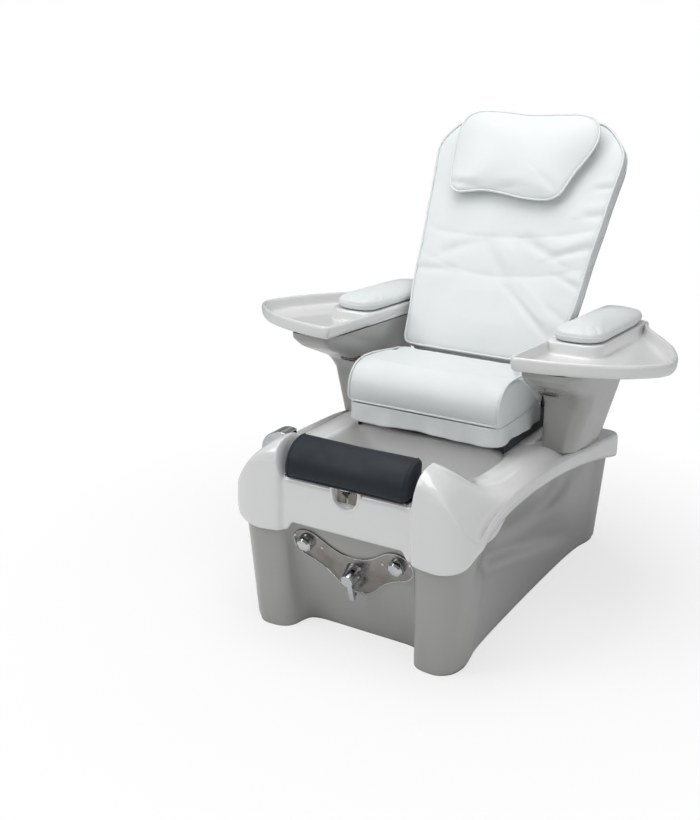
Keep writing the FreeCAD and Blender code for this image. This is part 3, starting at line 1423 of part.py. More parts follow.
def make_massage():
    """Carriage with ears, driven axle with pinions, and two kneading rollers."""
    near = s.cushion_depth + s.shell_depth - s.back_shell_wall - 7 - s.back_tube
    rail_front = near - s.massage_rail_depth
    inner = s.massage_rail_side - s.massage_rail_width / 2 - s.slide_gap
    middle = s.massage_height
    axle_y = near + s.pinion_radius + s.slide_gap
    axle_z = middle + s.roller_radius + 18
    roller_y = s.cushion_depth + 2 + s.roller_radius
    plate_y = axle_y + s.pinion_radius - 3
    low = middle - s.massage_plate_height / 2
    carriage = Part.makeBox(2 * inner, s.massage_plate_thickness, s.massage_plate_height,
                            Vector(-inner, plate_y, low))
    ears = []
    ear = s.massage_ear
    for sign in (1, -1):
        for place in (s.roller_side - s.roller_width / 2 - ear - 1, s.roller_side + s.roller_width / 2 + 1):
            x = place if sign > 0 else -place - ear
            ears.append(Part.makeBox(ear, plate_y - roller_y + 10, 24, Vector(x, roller_y - 10, middle - 12)))
        guide = ear + 3
        x = inner - guide if sign > 0 else -inner
        for z in (axle_z - 11, low + ear):
            ears.append(Part.makeBox(guide, plate_y - rail_front, 22, Vector(x, rail_front, z)))
    carriage = carriage.fuse(ears)
    fit = s.running_fit
    across = Vector(1, 0, 0)
    for radius, y, z in ((s.axle_radius, axle_y, axle_z), (s.roller_pin_radius, roller_y, middle)):
        carriage = carriage.cut(Part.makeCylinder(radius + fit, 2 * inner + 20, Vector(-inner - 10, y, z), across))
    named(feature(carriage, back_place), "massage_carriage")
    motor = Part.makeBox(s.massage_motor_width, plate_y - rail_front - 2, s.massage_motor_height,
                         Vector(-s.massage_motor_width / 2, rail_front + 2, low + 3))
    named(feature(motor, back_place), "massage_motor")
    axle = Part.makeCylinder(s.axle_radius, 2 * s.massage_rail_side + s.massage_rail_width,
                             Vector(-s.massage_rail_side - s.massage_rail_width / 2, axle_y, axle_z), across)
    for sign in (1, -1):
        x = sign * s.massage_rail_side - s.massage_rail_width / 2 + 2
        pinion = Part.makeCylinder(s.pinion_radius, s.massage_rail_width - 4, Vector(x, axle_y, axle_z), across)
        axle = axle.fuse(pinion)
    named(feature(axle, back_place), "massage_axle")
    edge = "roller_width / 2"
    profile = [("0", f"-{edge} - 5"), ("roller_pin_radius", f"-{edge} - 5"), ("roller_pin_radius", f"1 - {edge}"),
               ("roller_radius - 4", f"1 - {edge}"), ("roller_radius", f"6 - {edge}"), ("roller_radius - 4", "0"),
               ("roller_radius", f"{edge} - 6"), ("roller_radius - 4", f"{edge} - 1"),
               ("roller_pin_radius", f"{edge} - 1"), ("roller_pin_radius", f"{edge} + 5"), ("0", f"{edge} + 5")]
    for label, x in (("left", "roller_side"), ("right", "-roller_side")):
        roller = turned(profile, (x, "cushion_depth + 2 + roller_radius", "massage_height"), ALONG["X"], BACK)
        named(roller, f"{label}_kneading_roller")


def make_pillow():
    """Head pillow: butterfly outline, thin at its seam, on a strap over the back's top."""
    front = s.cushion_crown + s.soft_gap
    middle = (s.pillow_bottom + s.pillow_top) / 2

    def outline(share, depth):
        half = s.pillow_half_width * share
        up = (s.pillow_top - middle) * share
        down = (middle - s.pillow_bottom) * share
        return rounded_wire([(-half * 0.62, middle + up, 40 * share), (0, middle + up * 0.95, 60 * share),
                             (half * 0.62, middle + up, 40 * share),
                             (half, middle + up * 0.68, 26 * share), (half * 0.87, middle - down * 0.3, 60 * share),
                             (half * 0.76, middle - down * 0.92, 34 * share),
                             (0, middle - down, 120 * share),
                             (-half * 0.76, middle - down * 0.92, 34 * share),
                             (-half * 0.87, middle - down * 0.3, 60 * share),
                             (-half, middle + up * 0.68, 26 * share)], upright(-front - depth))

    levels = ((0, 0.86), (0.18, 0.96), (0.45, 1), (0.72, 0.96), (0.9, 0.86), (1, 0.68))
    return loft([outline(share, s.pillow_thickness * level) for level, share in levels])


def make_back():
    """Frame, shell, cushion, massage unit and head pillow."""
    named(feature(make_back_frame(), back_place), "back_frame")
    named(feature(make_back_shell(), back_place), "back_shell")
    named(feature(make_back_cushion(), back_place), "back_cushion")
    make_massage()
    named(feature(make_pillow(), back_place), "head_pillow")
    front = "-cushion_crown - soft_gap - strap_thickness"
    low = "back_top + soft_gap"
    high = f"{low} + strap_thickness"
    rear = "cushion_depth + 20"
    corners = [(front, "strap_leg_bottom"), ("-cushion_crown - soft_gap", "strap_leg_bottom"),
               ("-cushion_crown - soft_gap", low), (rear, low), (rear, high), (front, high)]
    strap = padded(corners, "2 * strap_half_width", ("-strap_half_width", "0", "0"), "YZ_Plane", BACK)
    named(strap, "pillow_strap")
    named(block(("-back_high_half_width + 1.2", "8", "590"), ("3", "24", "40"), BACK), "cover_pull_tab")


make_base()
make_frame()
make_drain()
make_circulation()
valves = make_controls()
make_spout()
make_supplies(valves)
make_arms()
make_footrest()
make_seat()
make_back()
doc.recompute()

for item in doc.Objects:
    if {"Invalid", "Error"} & set(item.State):
        raise RuntimeError(f"{item.Label} failed to build")
for item in nodes:
    if item.Shape.isNull() or not item.Shape.isValid():
        raise RuntimeError(f"{item.Label} has no valid shape")

os.makedirs("parts", exist_ok=True)
for item in nodes:
    item.Shape.exportStep(os.path.join("parts", item.Label + ".step"))
    print(f"{item.Label}: {len(item.Shape.Solids)} solid(s), {item.Shape.Volume / 1000:.1f} cm3")
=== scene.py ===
import json
import logging
import math
from bisect import bisect_right
from dataclasses import dataclass, field
from enum import Enum
from typing import Callable, Iterable, Sequence

import bmesh
import bpy
from mathutils import Matrix, Vector
from mathutils.kdtree import KDTree


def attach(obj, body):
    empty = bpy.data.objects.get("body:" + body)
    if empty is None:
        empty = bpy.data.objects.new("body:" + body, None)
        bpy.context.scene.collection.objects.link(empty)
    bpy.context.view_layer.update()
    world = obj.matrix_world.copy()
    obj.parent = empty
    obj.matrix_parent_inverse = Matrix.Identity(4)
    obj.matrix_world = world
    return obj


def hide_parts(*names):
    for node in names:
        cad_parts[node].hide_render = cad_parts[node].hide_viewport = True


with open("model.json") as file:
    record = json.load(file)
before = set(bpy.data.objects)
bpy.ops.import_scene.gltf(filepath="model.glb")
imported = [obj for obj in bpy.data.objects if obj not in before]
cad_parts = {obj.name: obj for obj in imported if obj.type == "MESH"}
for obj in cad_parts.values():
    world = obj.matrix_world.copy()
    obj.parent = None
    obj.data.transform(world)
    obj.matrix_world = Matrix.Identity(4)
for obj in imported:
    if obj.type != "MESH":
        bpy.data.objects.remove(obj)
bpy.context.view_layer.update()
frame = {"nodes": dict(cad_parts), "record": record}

LOG = logging.getLogger("pedicure_chair")
Mesh = bmesh.types.BMesh
Piece = bpy.types.Object
Material = bpy.types.Material
Socket = bpy.types.NodeSocket
Triple = tuple[float, float, float]
Pairs = Sequence[tuple[float, ...]]
Path = Callable[[float], Vector]

RECLINE = math.radians(30)
ARM_FALL = math.radians(3.2)
BACK_FOOT = Vector((0.0, 0.270, 0.700))
ARM_AXIS = Vector((0.0, 0.425, 0.724))
BACK_FRAME = Matrix.Translation(BACK_FOOT) @ Matrix.Rotation(-RECLINE, 4, "X")
ARM_FRAME = Matrix.Translation(ARM_AXIS) @ Matrix.Rotation(-ARM_FALL, 4, "X")
# Plane outlines stood across the back, and side views laid across the chair.
ACROSS_BACK = Matrix(((1, 0, 0, 0), (0, 0, 1, 0), (0, 1, 0, 0), (0, 0, 0, 1)))
SIDE_VIEW = Matrix(((0, 0, 1, 0), (1, 0, 0, 0), (0, 1, 0, 0), (0, 0, 0, 1)))
ON_BACK = BACK_FRAME @ ACROSS_BACK
SIDES = (("left", 1), ("right", -1))

# Points nearer than MEETING join, HAIR holds a rounding off its own outline, CREASE is a seam groove's half
# width, and FRONT_ENDS is the depth at which the skirt's sides take over from its front.
MEETING = 1e-5
HAIR = 1e-7
CORD_SIDES = 8
SWELL_FRAMES = 20
CREASE = 0.006
FRONT_ENDS = -0.47


def smooth_step(low: float, high: float, value: float) -> float:
    """Rises from 0 at low to 1 at high with level ends."""
    share = min(1.0, max(0.0, (value - low) / (high - low)))
    return share * share * (3.0 - 2.0 * share)


def soft_min(a: float, b: float, blend: float) -> float:
    """The lower of two heights with a rounded change between them."""
    share = min(1.0, max(0.0, 0.5 + 0.5 * (b - a) / blend))
    return b + (a - b) * share - blend * share * (1.0 - share)


def mm(rows: Pairs) -> list[tuple[float, ...]]:
    """Rows of lengths given in millimetres, in metres."""
    return [tuple(value / 1000 for value in row) for row in rows]


def along_line(rows: Pairs, value: float) -> float:
    """Reads a height off a line of (place, height) points, on a smooth curve that never overshoots.

    Args:
        rows: Places in rising order with their heights, in millimetres.
        value: The place to read at.

    Returns:
        The height there; the end heights beyond the ends.
    """
    points = mm(rows)
    slopes = [(y1 - y0) / (x1 - x0) for (x0, y0), (x1, y1) in zip(points, points[1:])]

    def lean(knot: int) -> float:
        """Slope of the curve at a knot, level where the line turns back.

        Args:
            knot: The knot's number.

        Returns:
            The slope.
        """
        before, after = slopes[max(0, knot - 1)], slopes[min(knot, len(slopes) - 1)]
        return 2 * before * after / (before + after) if before * after > 0 else 0.0

    index = min(max(0, bisect_right([place for place, _ in points], value) - 1), len(slopes) - 1)
    (x0, y0), (x1, y1) = points[index], points[index + 1]
    share = min(1.0, max(0.0, (value - x0) / (x1 - x0)))
    rest = 1.0 - share
    return (y0 * rest * rest * (1 + 2 * share) + y1 * share * share * (3 - 2 * share)
            + (x1 - x0) * share * rest * (rest * lean(index) - share * lean(index + 1)))


class Curve:
    """A smooth curve through points, read by its length."""

    def __init__(self, points: Iterable[Sequence[float]], closed: bool = True) -> None:
        """Samples the curve once so that reads are quick.

        Args:
            points: Points that the curve passes through.
            closed: Whether it returns to its start.
        """
        self.points = [Vector(point) for point in points]
        self.closed = closed
        self.samples: list[Vector] = []
        self.lengths = [0.0]
        spans = len(self.points) - (0 if closed else 1)
        for span in range(spans):
            for step in range(16):
                self.samples.append(self._span(span, step / 16))
        self.samples.append(self._span(spans - 1, 1.0))
        for before, after in zip(self.samples, self.samples[1:]):
            self.lengths.append(self.lengths[-1] + (after - before).length)

    def _point(self, index: int) -> Vector:
        """The control point at an index, round the loop or held at its ends.

        Args:
            index: The point's number, past either end too.

        Returns:
            The point.
        """
        count = len(self.points)
        if self.closed:
            return self.points[index % count]
        if index < 0:
            return self.points[0] * 2 - self.points[1]
        if index >= count:
            return self.points[-1] * 2 - self.points[-2]
        return self.points[index]

    def _span(self, index: int, share: float) -> Vector:
        """A point within a span, by centripetal interpolation.

        Args:
            index: Number of the point that the span starts from.
            share: Share of the span.

        Returns:
            The point there.
        """
        p0, p1, p2, p3 = (self._point(index + k) for k in (-1, 0, 1, 2))
        t1 = max(1e-6, (p1 - p0).length) ** 0.5
        t2 = t1 + max(1e-6, (p2 - p1).length) ** 0.5
        t3 = t2 + max(1e-6, (p3 - p2).length) ** 0.5
        t = t1 + (t2 - t1) * share
        a1 = p0 * ((t1 - t) / t1) + p1 * (t / t1)
        a2 = p1 * ((t2 - t) / (t2 - t1)) + p2 * ((t - t1) / (t2 - t1))
        a3 = p2 * ((t3 - t) / (t3 - t2)) + p3 * ((t - t2) / (t3 - t2))
        b1 = a1 * ((t2 - t) / t2) + a2 * (t / t2)
        b2 = a2 * ((t3 - t) / (t3 - t1)) + a3 * ((t - t1) / (t3 - t1))
        return b1 * ((t2 - t) / (t2 - t1)) + b2 * ((t - t1) / (t2 - t1))

    def at(self, share: float) -> Vector:
        """The point at a share of the whole length.

        Args:
            share: Share of the length, 0 to 1.

        Returns:
            The point there.
        """
        share = share % 1.0 if self.closed else min(1.0, max(0.0, share))
        goal = share * self.lengths[-1]
        index = min(len(self.samples) - 2, bisect_right(self.lengths, goal) - 1)
        step = self.lengths[index + 1] - self.lengths[index]
        part = (goal - self.lengths[index]) / step if step > 0 else 0.0
        return self.samples[index].lerp(self.samples[index + 1], part)

    def share_near(self, point: Sequence[float]) -> float:
        """The share of the length at the sample nearest to a point.

        Args:
            point: A place near the curve.

        Returns:
            The share, 0 to 1.
        """
        goal = Vector(point)
        index = min(range(len(self.samples)), key=lambda k: (self.samples[k] - goal).length)
        return self.lengths[index] / self.lengths[-1]

    def inward(self, share: float) -> Vector:
        """Unit normal of a plane loop that runs anticlockwise, towards its inside."""
        ahead = self.at(share + 0.002) - self.at(share - 0.002)
        return Vector((-ahead.y, ahead.x)).normalized()


def mirrored(half: Pairs) -> Curve:
    """Closes a half outline, front middle to rear middle, over x = 0.

    Args:
        half: Points whose first and every other value are across the width, in millimetres.

    Returns:
        The whole loop, anticlockwise seen from above.
    """
    right = mm(half)
    left = [tuple(-value if index % 2 == 0 else value for index, value in enumerate(point))
            for point in reversed(right[1:-1])]
    return Curve(right + left)


def level(loop: Curve, height: float) -> Path:
    """A plane loop laid level at a height."""
    return lambda u: Vector((*loop.at(u), height))


def upright(loop: Curve, depth: float) -> Path:
    """A plane loop stood up across the chair at a depth."""
    return lambda u: Vector((loop.at(u).x, depth, loop.at(u).y))


# Mesh making

def lay(bm: Mesh, across: int, along: int, place: Callable[[float, float], Vector]) -> None:
    """Adds a grid and lays its points where place(u, v) says, for u and v from 0 to 1.

    Args:
        bm: The mesh that gains the grid.
        across: Faces along u.
        along: Faces along v.
        place: Gives the point for u and v.
    """
    made = bmesh.ops.create_grid(bm, x_segments=across, y_segments=along, size=1.0)
    for vert in made["verts"]:
        vert.co = place((vert.co.x + 1.0) / 2.0, (vert.co.y + 1.0) / 2.0)


def skin(across: int, along: int, place: Callable[[float, float], Vector], way: Sequence[float],
         frame_of: Matrix = Matrix()) -> Mesh:
    """A surface from a grid, joined where it meets itself and facing outward.

    Args:
        across: Faces along u.
        along: Faces along v.
        place: Gives the point for u and v from 0 to 1.
        way: Where the surface lies furthest this way, its outside faces it.
        frame_of: The frame that the points are given in.

    Returns:
        The surface.
    """
    bm = bmesh.new()
    lay(bm, across, along, place)
    bmesh.ops.remove_doubles(bm, verts=bm.verts, dist=MEETING)
    bm.transform(frame_of)
    face_out(bm, way)
    return bm


def loft(shares: Sequence[float], column: Callable[[float], list[Vector]], way: Sequence[float],
         frame_of: Matrix = Matrix()) -> Mesh:
    """A skin through columns of points, one for each share of the way round a loop.

    Args:
        shares: The shares.
        column: Gives the points of a column at a share.
        way: Where the surface lies furthest this way, its outside faces it.
        frame_of: The frame that the points are given in.

    Returns:
        The surface.
    """
    lines = [column(share) for share in shares]
    count, last = len(lines), len(lines[0]) - 1
    return skin(count, last, lambda u, v: lines[round(u * count) % count][round(v * last)], way, frame_of)


def evenly(count: int) -> list[float]:
    """Equal steps from 0 up to, but not at, 1."""
    return [step / count for step in range(count)]


def cord(path: Path, radius: float, along: int, facing: Vector, closed: bool = True) -> Mesh:
    """A round cord along a path, joined end to end or drawn to a point.

    Args:
        path: Gives the cord's middle for 0 to 1.
        radius: The cord's radius.
        along: Steps along it.
        facing: A way that the path never runs along.
        closed: Whether the ends meet.

    Returns:
        The cord.
    """
    def place(u: float, v: float) -> Vector:
        """A point of the cord's skin.

        Args:
            u: Share of the way along.
            v: Share of the way round the cord.

        Returns:
            The point.
        """
        step = 0.25 / along
        ahead = path(u + step if closed else min(1.0, u + step))
        behind = path(u - step if closed else max(0.0, u - step))
        line = (ahead - behind).normalized()
        side = line.cross(facing).normalized()
        lift = side.cross(line)
        size = radius if closed or 0.0 < u < 1.0 else 0.0
        angle = 2.0 * math.pi * v
        return path(u) + (side * math.cos(angle) + lift * math.sin(angle)) * size

    bm = bmesh.new()
    lay(bm, along, CORD_SIDES, place)
    bmesh.ops.remove_doubles(bm, verts=bm.verts, dist=MEETING / 10)
    bmesh.ops.recalc_face_normals(bm, faces=bm.faces)
    return bm


def plate(outline: Path, lift: Sequence[float], count: int, bevel: float, way: Sequence[float],
          frame_of: Matrix = Matrix(), segments: int = 3) -> Mesh:
    """A plate with rounded edges from a flat outline.

    Args:
        outline: Gives the loop's points for 0 to 1.
        lift: The thickness as a direction.
        count: Points round the outline.
        bevel: Radius of the rounded rims, 0 for none.
        way: Where the plate lies furthest this way, its outside faces it.
        frame_of: The frame that the points are given in.
        segments: Steps of the rounding.

    Returns:
        The plate.
    """
    bm = bmesh.new()
    made = bmesh.ops.create_circle(bm, cap_ends=True, segments=count, radius=1.0)
    ring = sorted(made["verts"], key=lambda v: math.atan2(v.co.y, v.co.x))
    for index, vert in enumerate(ring):
        vert.co = outline(index / count)
    face = ring[0].link_faces[0]
    grown = bmesh.ops.extrude_face_region(bm, geom=[face])
    top = [item for item in grown["geom"] if isinstance(item, bmesh.types.BMVert)]
    bmesh.ops.translate(bm, vec=lift, verts=top)
    if not face.is_valid:
        bmesh.ops.contextual_create(bm, geom=ring)
    else:
        face.normal_flip()
    if bevel > 0:
        rims = {edge for vert in ring + top for edge in vert.link_edges
                if (edge.verts[0] in top) == (edge.verts[1] in top)}
        bmesh.ops.bevel(bm, geom=list(rims), offset=bevel, segments=segments, profile=0.5,
                        affect="EDGES", material=-1)
    bm.transform(frame_of)
    face_out(bm, way)
    return bm


def face_out(bm: Mesh, way: Sequence[float]) -> None:
    """Points all normals outward, judged at the place furthest along a way.

    Args:
        bm: The mesh.
        way: The way to look along.
    """
    bmesh.ops.recalc_face_normals(bm, faces=bm.faces)
    goal = Vector(way)
    far = max(bm.faces, key=lambda face: face.calc_center_median().dot(goal))
    if far.normal.dot(goal) < 0:
        bmesh.ops.reverse_faces(bm, faces=bm.faces)


def flip_sides(bm: Mesh) -> None:
    """Turns a left-hand piece into the right-hand one.

    Args:
        bm: The mesh.
    """
    for vert in bm.verts:
        vert.co.x = -vert.co.x
    bmesh.ops.reverse_faces(bm, faces=bm.faces)


# Finishes

def add_node(tree: bpy.types.NodeTree, kind: str, **values: float | Sequence[float]) -> bpy.types.Node:
    """Adds a shader node and sets plain inputs, named with underscores for spaces.

    Args:
        tree: The material or world that gains it.
        kind: The node's kind.
        values: Inputs and their values.

    Returns:
        The node.
    """
    node = tree.nodes.new(f"ShaderNode{kind}")
    for name, value in values.items():
        node.inputs[name.replace("_", " ")].default_value = value
    return node


class Bench:
    """Builds one material's nodes, all on Object coordinates."""

    def __init__(self, name: str) -> None:
        """Starts a material with its shader.

        Args:
            name: The material's name.
        """
        self.material = bpy.data.materials.new(name)
        self.material.use_nodes = True
        self.tree = self.material.node_tree
        self.shader = self.tree.nodes["Principled BSDF"]
        self.coords = add_node(self.tree, "TexCoord").outputs["Object"]

    def link(self, source: Socket, target: Socket) -> None:
        """Joins two sockets."""
        self.tree.links.new(source, target)

    def noise(self, scale: float, detail: float = 3.0, stretch: Triple | None = None) -> Socket:
        """A noise pattern, stretched along the axes where asked.

        Args:
            scale: How fine it is.
            detail: How many finer layers it has.
            stretch: Its own scale along each axis.

        Returns:
            The pattern.
        """
        node = add_node(self.tree, "TexNoise", Scale=scale, Detail=detail)
        source = self.coords
        if stretch:
            mapping = add_node(self.tree, "Mapping", Scale=stretch)
            self.link(source, mapping.inputs["Vector"])
            source = mapping.outputs["Vector"]
        self.link(source, node.inputs["Vector"])
        return node.outputs["Fac"]

    def cells(self, scale: float) -> Socket:
        """Cell walls, for the grain of a hide.

        Args:
            scale: How fine they are.

        Returns:
            The pattern.
        """
        node = add_node(self.tree, "TexVoronoi")
        node.feature = "DISTANCE_TO_EDGE"
        node.inputs["Scale"].default_value = scale
        self.link(self.coords, node.inputs["Vector"])
        return node.outputs["Distance"]

    def spread(self, source: Socket, low: float, high: float, start: float = 0.3, end: float = 0.7) -> Socket:
        """Maps a pattern onto a range of values.

        Args:
            source: The pattern.
            low: Value at the start.
            high: Value at the end.
            start: The pattern's level for the low value.
            end: The pattern's level for the high value.

        Returns:
            The values.
        """
        node = add_node(self.tree, "MapRange", From_Min=start, From_Max=end, To_Min=low, To_Max=high)
        self.link(source, node.inputs["Value"])
        return node.outputs["Result"]

    def tint(self, source: Socket, first: Triple, second: Triple, start: float = 0.3,
             end: float = 0.7) -> Socket:
        """Colours a pattern between two colours.

        Args:
            source: The pattern.
            first: Colour at the start.
            second: Colour at the end.
            start: The pattern's level for the first colour.
            end: The pattern's level for the second colour.

        Returns:
            The colours.
        """
        node = add_node(self.tree, "ValToRGB")
        for element, place, colour in zip(node.color_ramp.elements, (start, end), (first, second)):
            element.position = place
            element.color = (*colour, 1.0)
        self.link(source, node.inputs["Fac"])
        return node.outputs["Color"]

    def relief(self, source: Socket, strength: float, depth: float, under: Socket | None = None) -> Socket:
        """A bump from a pattern, laid over another bump.

        Args:
            source: The pattern.
            strength: How much it shows.
            depth: Its height in metres.
            under: The bump below it.

        Returns:
            The relief.
        """
        node = add_node(self.tree, "Bump", Strength=strength, Distance=depth)
        self.link(source, node.inputs["Height"])
        if under is not None:
            self.link(under, node.inputs["Normal"])
        return node.outputs["Normal"]

    def dress(self, colour: Socket | None = None, roughness: Socket | None = None,
              normal: Socket | None = None, **values: float) -> Material:
        """Wires the shader and sets its plain values.

        Args:
            colour: Colour pattern.
            roughness: Roughness pattern.
            normal: Relief.
            values: Shader sockets by name with underscores, and their values.

        Returns:
            The finished material.
        """
        for source, target in ((colour, "Base Color"), (roughness, "Roughness"), (normal, "Normal")):
            if source is not None:
                self.link(source, self.shader.inputs[target])
        for name, value in values.items():
            self.shader.inputs[name.replace("_", " ")].default_value = value
        return self.material


@dataclass(frozen=True)
class Paint:
    """A named finish that drifts between a colour and a shade of it."""

    name: str
    colour: Triple
    shade: Triple


@dataclass(frozen=True)
class Moulding(Paint):
    """Gloss gelcoat or acrylic: a clear coat, faint ripple and a polish that varies."""

    polish: float
    coat: float

    def make(self) -> Material:
        """Builds the material.

        Returns:
            The material.
        """
        bench = Bench(self.name)
        colour = bench.tint(bench.noise(1.7, 2.0), self.shade, self.colour, 0.2, 0.8)
        rough = bench.spread(bench.noise(5.0, 1.0), self.polish - 0.02, self.polish + 0.04)
        ripple = bench.relief(bench.noise(3.5, 0.0), 0.03, 0.0012)
        return bench.dress(colour, rough, ripple, Coat_Weight=self.coat, Coat_Roughness=0.06, IOR=1.5)


@dataclass(frozen=True)
class Hide(Paint):
    """Synthetic leather: pebbled grain, soft creases and a low sheen."""

    roughness: float = 0.44
    grain: float = 620.0
    depth: float = 0.00028

    def make(self) -> Material:
        """Builds the material.

        Returns:
            The material.
        """
        bench = Bench(self.name)
        colour = bench.tint(bench.noise(5.5, 5.0), self.shade, self.colour, 0.30, 0.62)
        rough = bench.spread(bench.noise(26.0, 4.0), self.roughness - 0.05, self.roughness + 0.09)
        folds = bench.relief(bench.noise(15.0, 6.0, (1.0, 0.6, 0.6)), 0.16, 0.004)
        pebble = bench.relief(bench.cells(self.grain), 0.34, self.depth, folds)
        pores = bench.relief(bench.noise(self.grain * 2.1, 2.0), 0.12, self.depth, pebble)
        return bench.dress(colour, rough, pores, Sheen_Weight=0.05, Sheen_Roughness=0.4, IOR=1.45)


@dataclass(frozen=True)
class Metal(Paint):
    """Plated or brushed metal with fine scratches and handling marks."""

    roughness: float
    scratch: Triple = (1.0, 1.0, 1.0)
    mark: float = 0.03

    def make(self) -> Material:
        """Builds the material.

        Returns:
            The material.
        """
        bench = Bench(self.name)
        colour = bench.tint(bench.noise(18.0, 4.0), self.shade, self.colour, 0.25, 0.6)
        fine = bench.noise(240.0, 3.0, self.scratch)
        rough = bench.spread(bench.noise(45.0, 5.0), self.roughness, self.roughness + self.mark * 3)
        lines = bench.relief(fine, self.mark * 2, 0.0002)
        return bench.dress(colour, rough, lines, Metallic=1.0)


@dataclass(frozen=True)
class Polymer(Paint):
    """Moulded or extruded plastic, rubber and paint with a fine texture."""

    roughness: float
    texture: float = 700.0
    depth: float = 0.0003

    def make(self) -> Material:
        """Builds the material.

        Returns:
            The material.
        """
        bench = Bench(self.name)
        colour = bench.tint(bench.noise(11.0, 5.0), self.shade, self.colour, 0.3, 0.65)
        rough = bench.spread(bench.noise(60.0, 4.0), self.roughness - 0.06, self.roughness + 0.08)
        skin_relief = bench.relief(bench.noise(self.texture, 3.0), 0.22, self.depth)
        return bench.dress(colour, rough, skin_relief, IOR=1.48)


@dataclass(frozen=True)
class Ply(Paint):
    """Plywood: long grain with pale and dark bands."""

    def make(self) -> Material:
        """Builds the material.

        Returns:
            The material.
        """
        bench = Bench(self.name)
        grain = bench.noise(9.0, 8.0, (1.0, 14.0, 30.0))
        colour = bench.tint(grain, self.shade, self.colour, 0.35, 0.62)
        rough = bench.spread(grain, 0.55, 0.72)
        return bench.dress(colour, rough, bench.relief(grain, 0.3, 0.0006))


class Finish(Enum):
    """Every finish on the chair, by the record's material slot."""

    white_moulding = Moulding("gloss_white_acrylic", (0.80, 0.80, 0.795), (0.785, 0.787, 0.782), 0.13, 0.6)
    grey_moulding = Moulding("pale_grey_gelcoat", (0.375, 0.375, 0.36), (0.363, 0.363, 0.349), 0.225, 0.45)
    white_leather = Hide("white_synthetic_leather", (0.80, 0.825, 0.825), (0.755, 0.785, 0.785))
    dark_leather = Hide("navy_synthetic_leather", (0.010, 0.015, 0.022), (0.007, 0.011, 0.017), 0.55, 560.0,
                        0.0003)
    chrome_fitting = Metal("polished_chrome", (0.58, 0.59, 0.61), (0.46, 0.46, 0.47), 0.06)
    # A darker, browner copy of the chrome: painted dark reflection on the control plate and painted shade on
    # the latch rings, both in place of plain chrome.
    dull_chrome = Metal("brushed_chrome_painted_dark_reflection", (0.30, 0.285, 0.265), (0.22, 0.205, 0.19), 0.16,
                        (1.0, 1.0, 0.2), 0.05)
    # Stainless drawn darker and browner than bare steel.
    dull_steel = Metal("dark_brown_stainless", (0.26, 0.235, 0.205), (0.20, 0.18, 0.155), 0.30, (1.0, 1.0, 0.05),
                       0.08)
    bright_screw = Metal("bright_zinc", (0.66, 0.66, 0.67), (0.55, 0.55, 0.56), 0.22, (1.0, 1.0, 0.2), 0.06)
    valve_brass = Metal("cast_brass", (0.62, 0.44, 0.17), (0.48, 0.32, 0.12), 0.30, (1.0, 1.0, 1.0), 0.10)
    frame_steel = Polymer("black_powder_coat", (0.030, 0.034, 0.042), (0.020, 0.023, 0.029), 0.42, 520.0)
    foot_rubber = Polymer("foot_rubber", (0.020, 0.020, 0.020), (0.012, 0.012, 0.012), 0.72, 380.0, 0.0005)
    grey_plastic = Polymer("grey_pipe_plastic", (0.27, 0.28, 0.29), (0.22, 0.23, 0.24), 0.46)
    pump_casing = Polymer("black_pump_casing", (0.018, 0.019, 0.021), (0.012, 0.013, 0.014), 0.5, 420.0)
    black_plastic = Polymer("black_moulded_plastic", (0.012, 0.012, 0.013), (0.008, 0.008, 0.009), 0.45)
    back_plastic = Polymer("pale_back_cover", (0.56, 0.575, 0.57), (0.50, 0.515, 0.51), 0.40, 500.0)
    plywood = Ply("birch_ply", (0.60, 0.42, 0.24), (0.34, 0.20, 0.10))


MATERIALS: dict[Finish, Material] = {}


def material_of(finish: Finish) -> Material:
    """The finish's material, made on its first use.

    Args:
        finish: The finish.

    Returns:
        Its material.
    """
    if finish not in MATERIALS:
        MATERIALS[finish] = finish.value.make()
    return MATERIALS[finish]


def placed(name: str, bm: Mesh) -> Piece:
    """An object in the scene for a mesh, which is freed.

    Args:
        name: The object's name.
        bm: The mesh.

    Returns:
        The object.
    """
    mesh = bpy.data.meshes.new(name)
    bm.to_mesh(mesh)
    bm.free()
    piece = bpy.data.objects.new(name, mesh)
    bpy.context.scene.collection.objects.link(piece)
    return piece


def settle(name: str, bm: Mesh, finish: Finish, body: str, slot: str = "", replaces: Sequence[str] = (),
           sharp: float = 40.0) -> Piece:
    """Turns a finished mesh into a piece that rides on its body.

    Args:
        name: The piece's name.
        bm: The mesh, which is freed.
        finish: What it is made of.
        body: The CAD body it moves with.
        slot: The record's material slot, where it isn't the finish's own name; not used.
        replaces: CAD nodes that it stands for.
        sharp: Angle past which an edge stays crisp, in degrees.

    Returns:
        The piece's object.
    """
    piece = placed(name, bm)
    mesh = piece.data
    mesh.materials.append(material_of(finish))
    mesh.shade_smooth()
    mesh.set_sharp_from_angle(angle=math.radians(sharp))
    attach(piece, body)
    slot or finish.name
    if replaces:
        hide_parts(*replaces)
    LOG.info("%s: %d faces on %s", name, len(mesh.polygons), body)
    return piece


def thicken(piece: Piece, wall: float) -> None:
    """Gives an open skin its wall, inward from its face.

    Args:
        piece: The skin.
        wall: The wall's thickness.
    """
    wall_maker = piece.modifiers.new("Wall", "SOLIDIFY")
    wall_maker.thickness = wall
    wall_maker.offset = -1.0


def bake(piece: Piece) -> bpy.types.Mesh:
    """Makes a piece's mesh what its modifiers leave, and clears them.

    Args:
        piece: The piece.

    Returns:
        Its new mesh.
    """
    graph = bpy.context.evaluated_depsgraph_get()
    mesh = bpy.data.meshes.new_from_object(piece.evaluated_get(graph))
    piece.modifiers.clear()
    piece.data = mesh
    return mesh


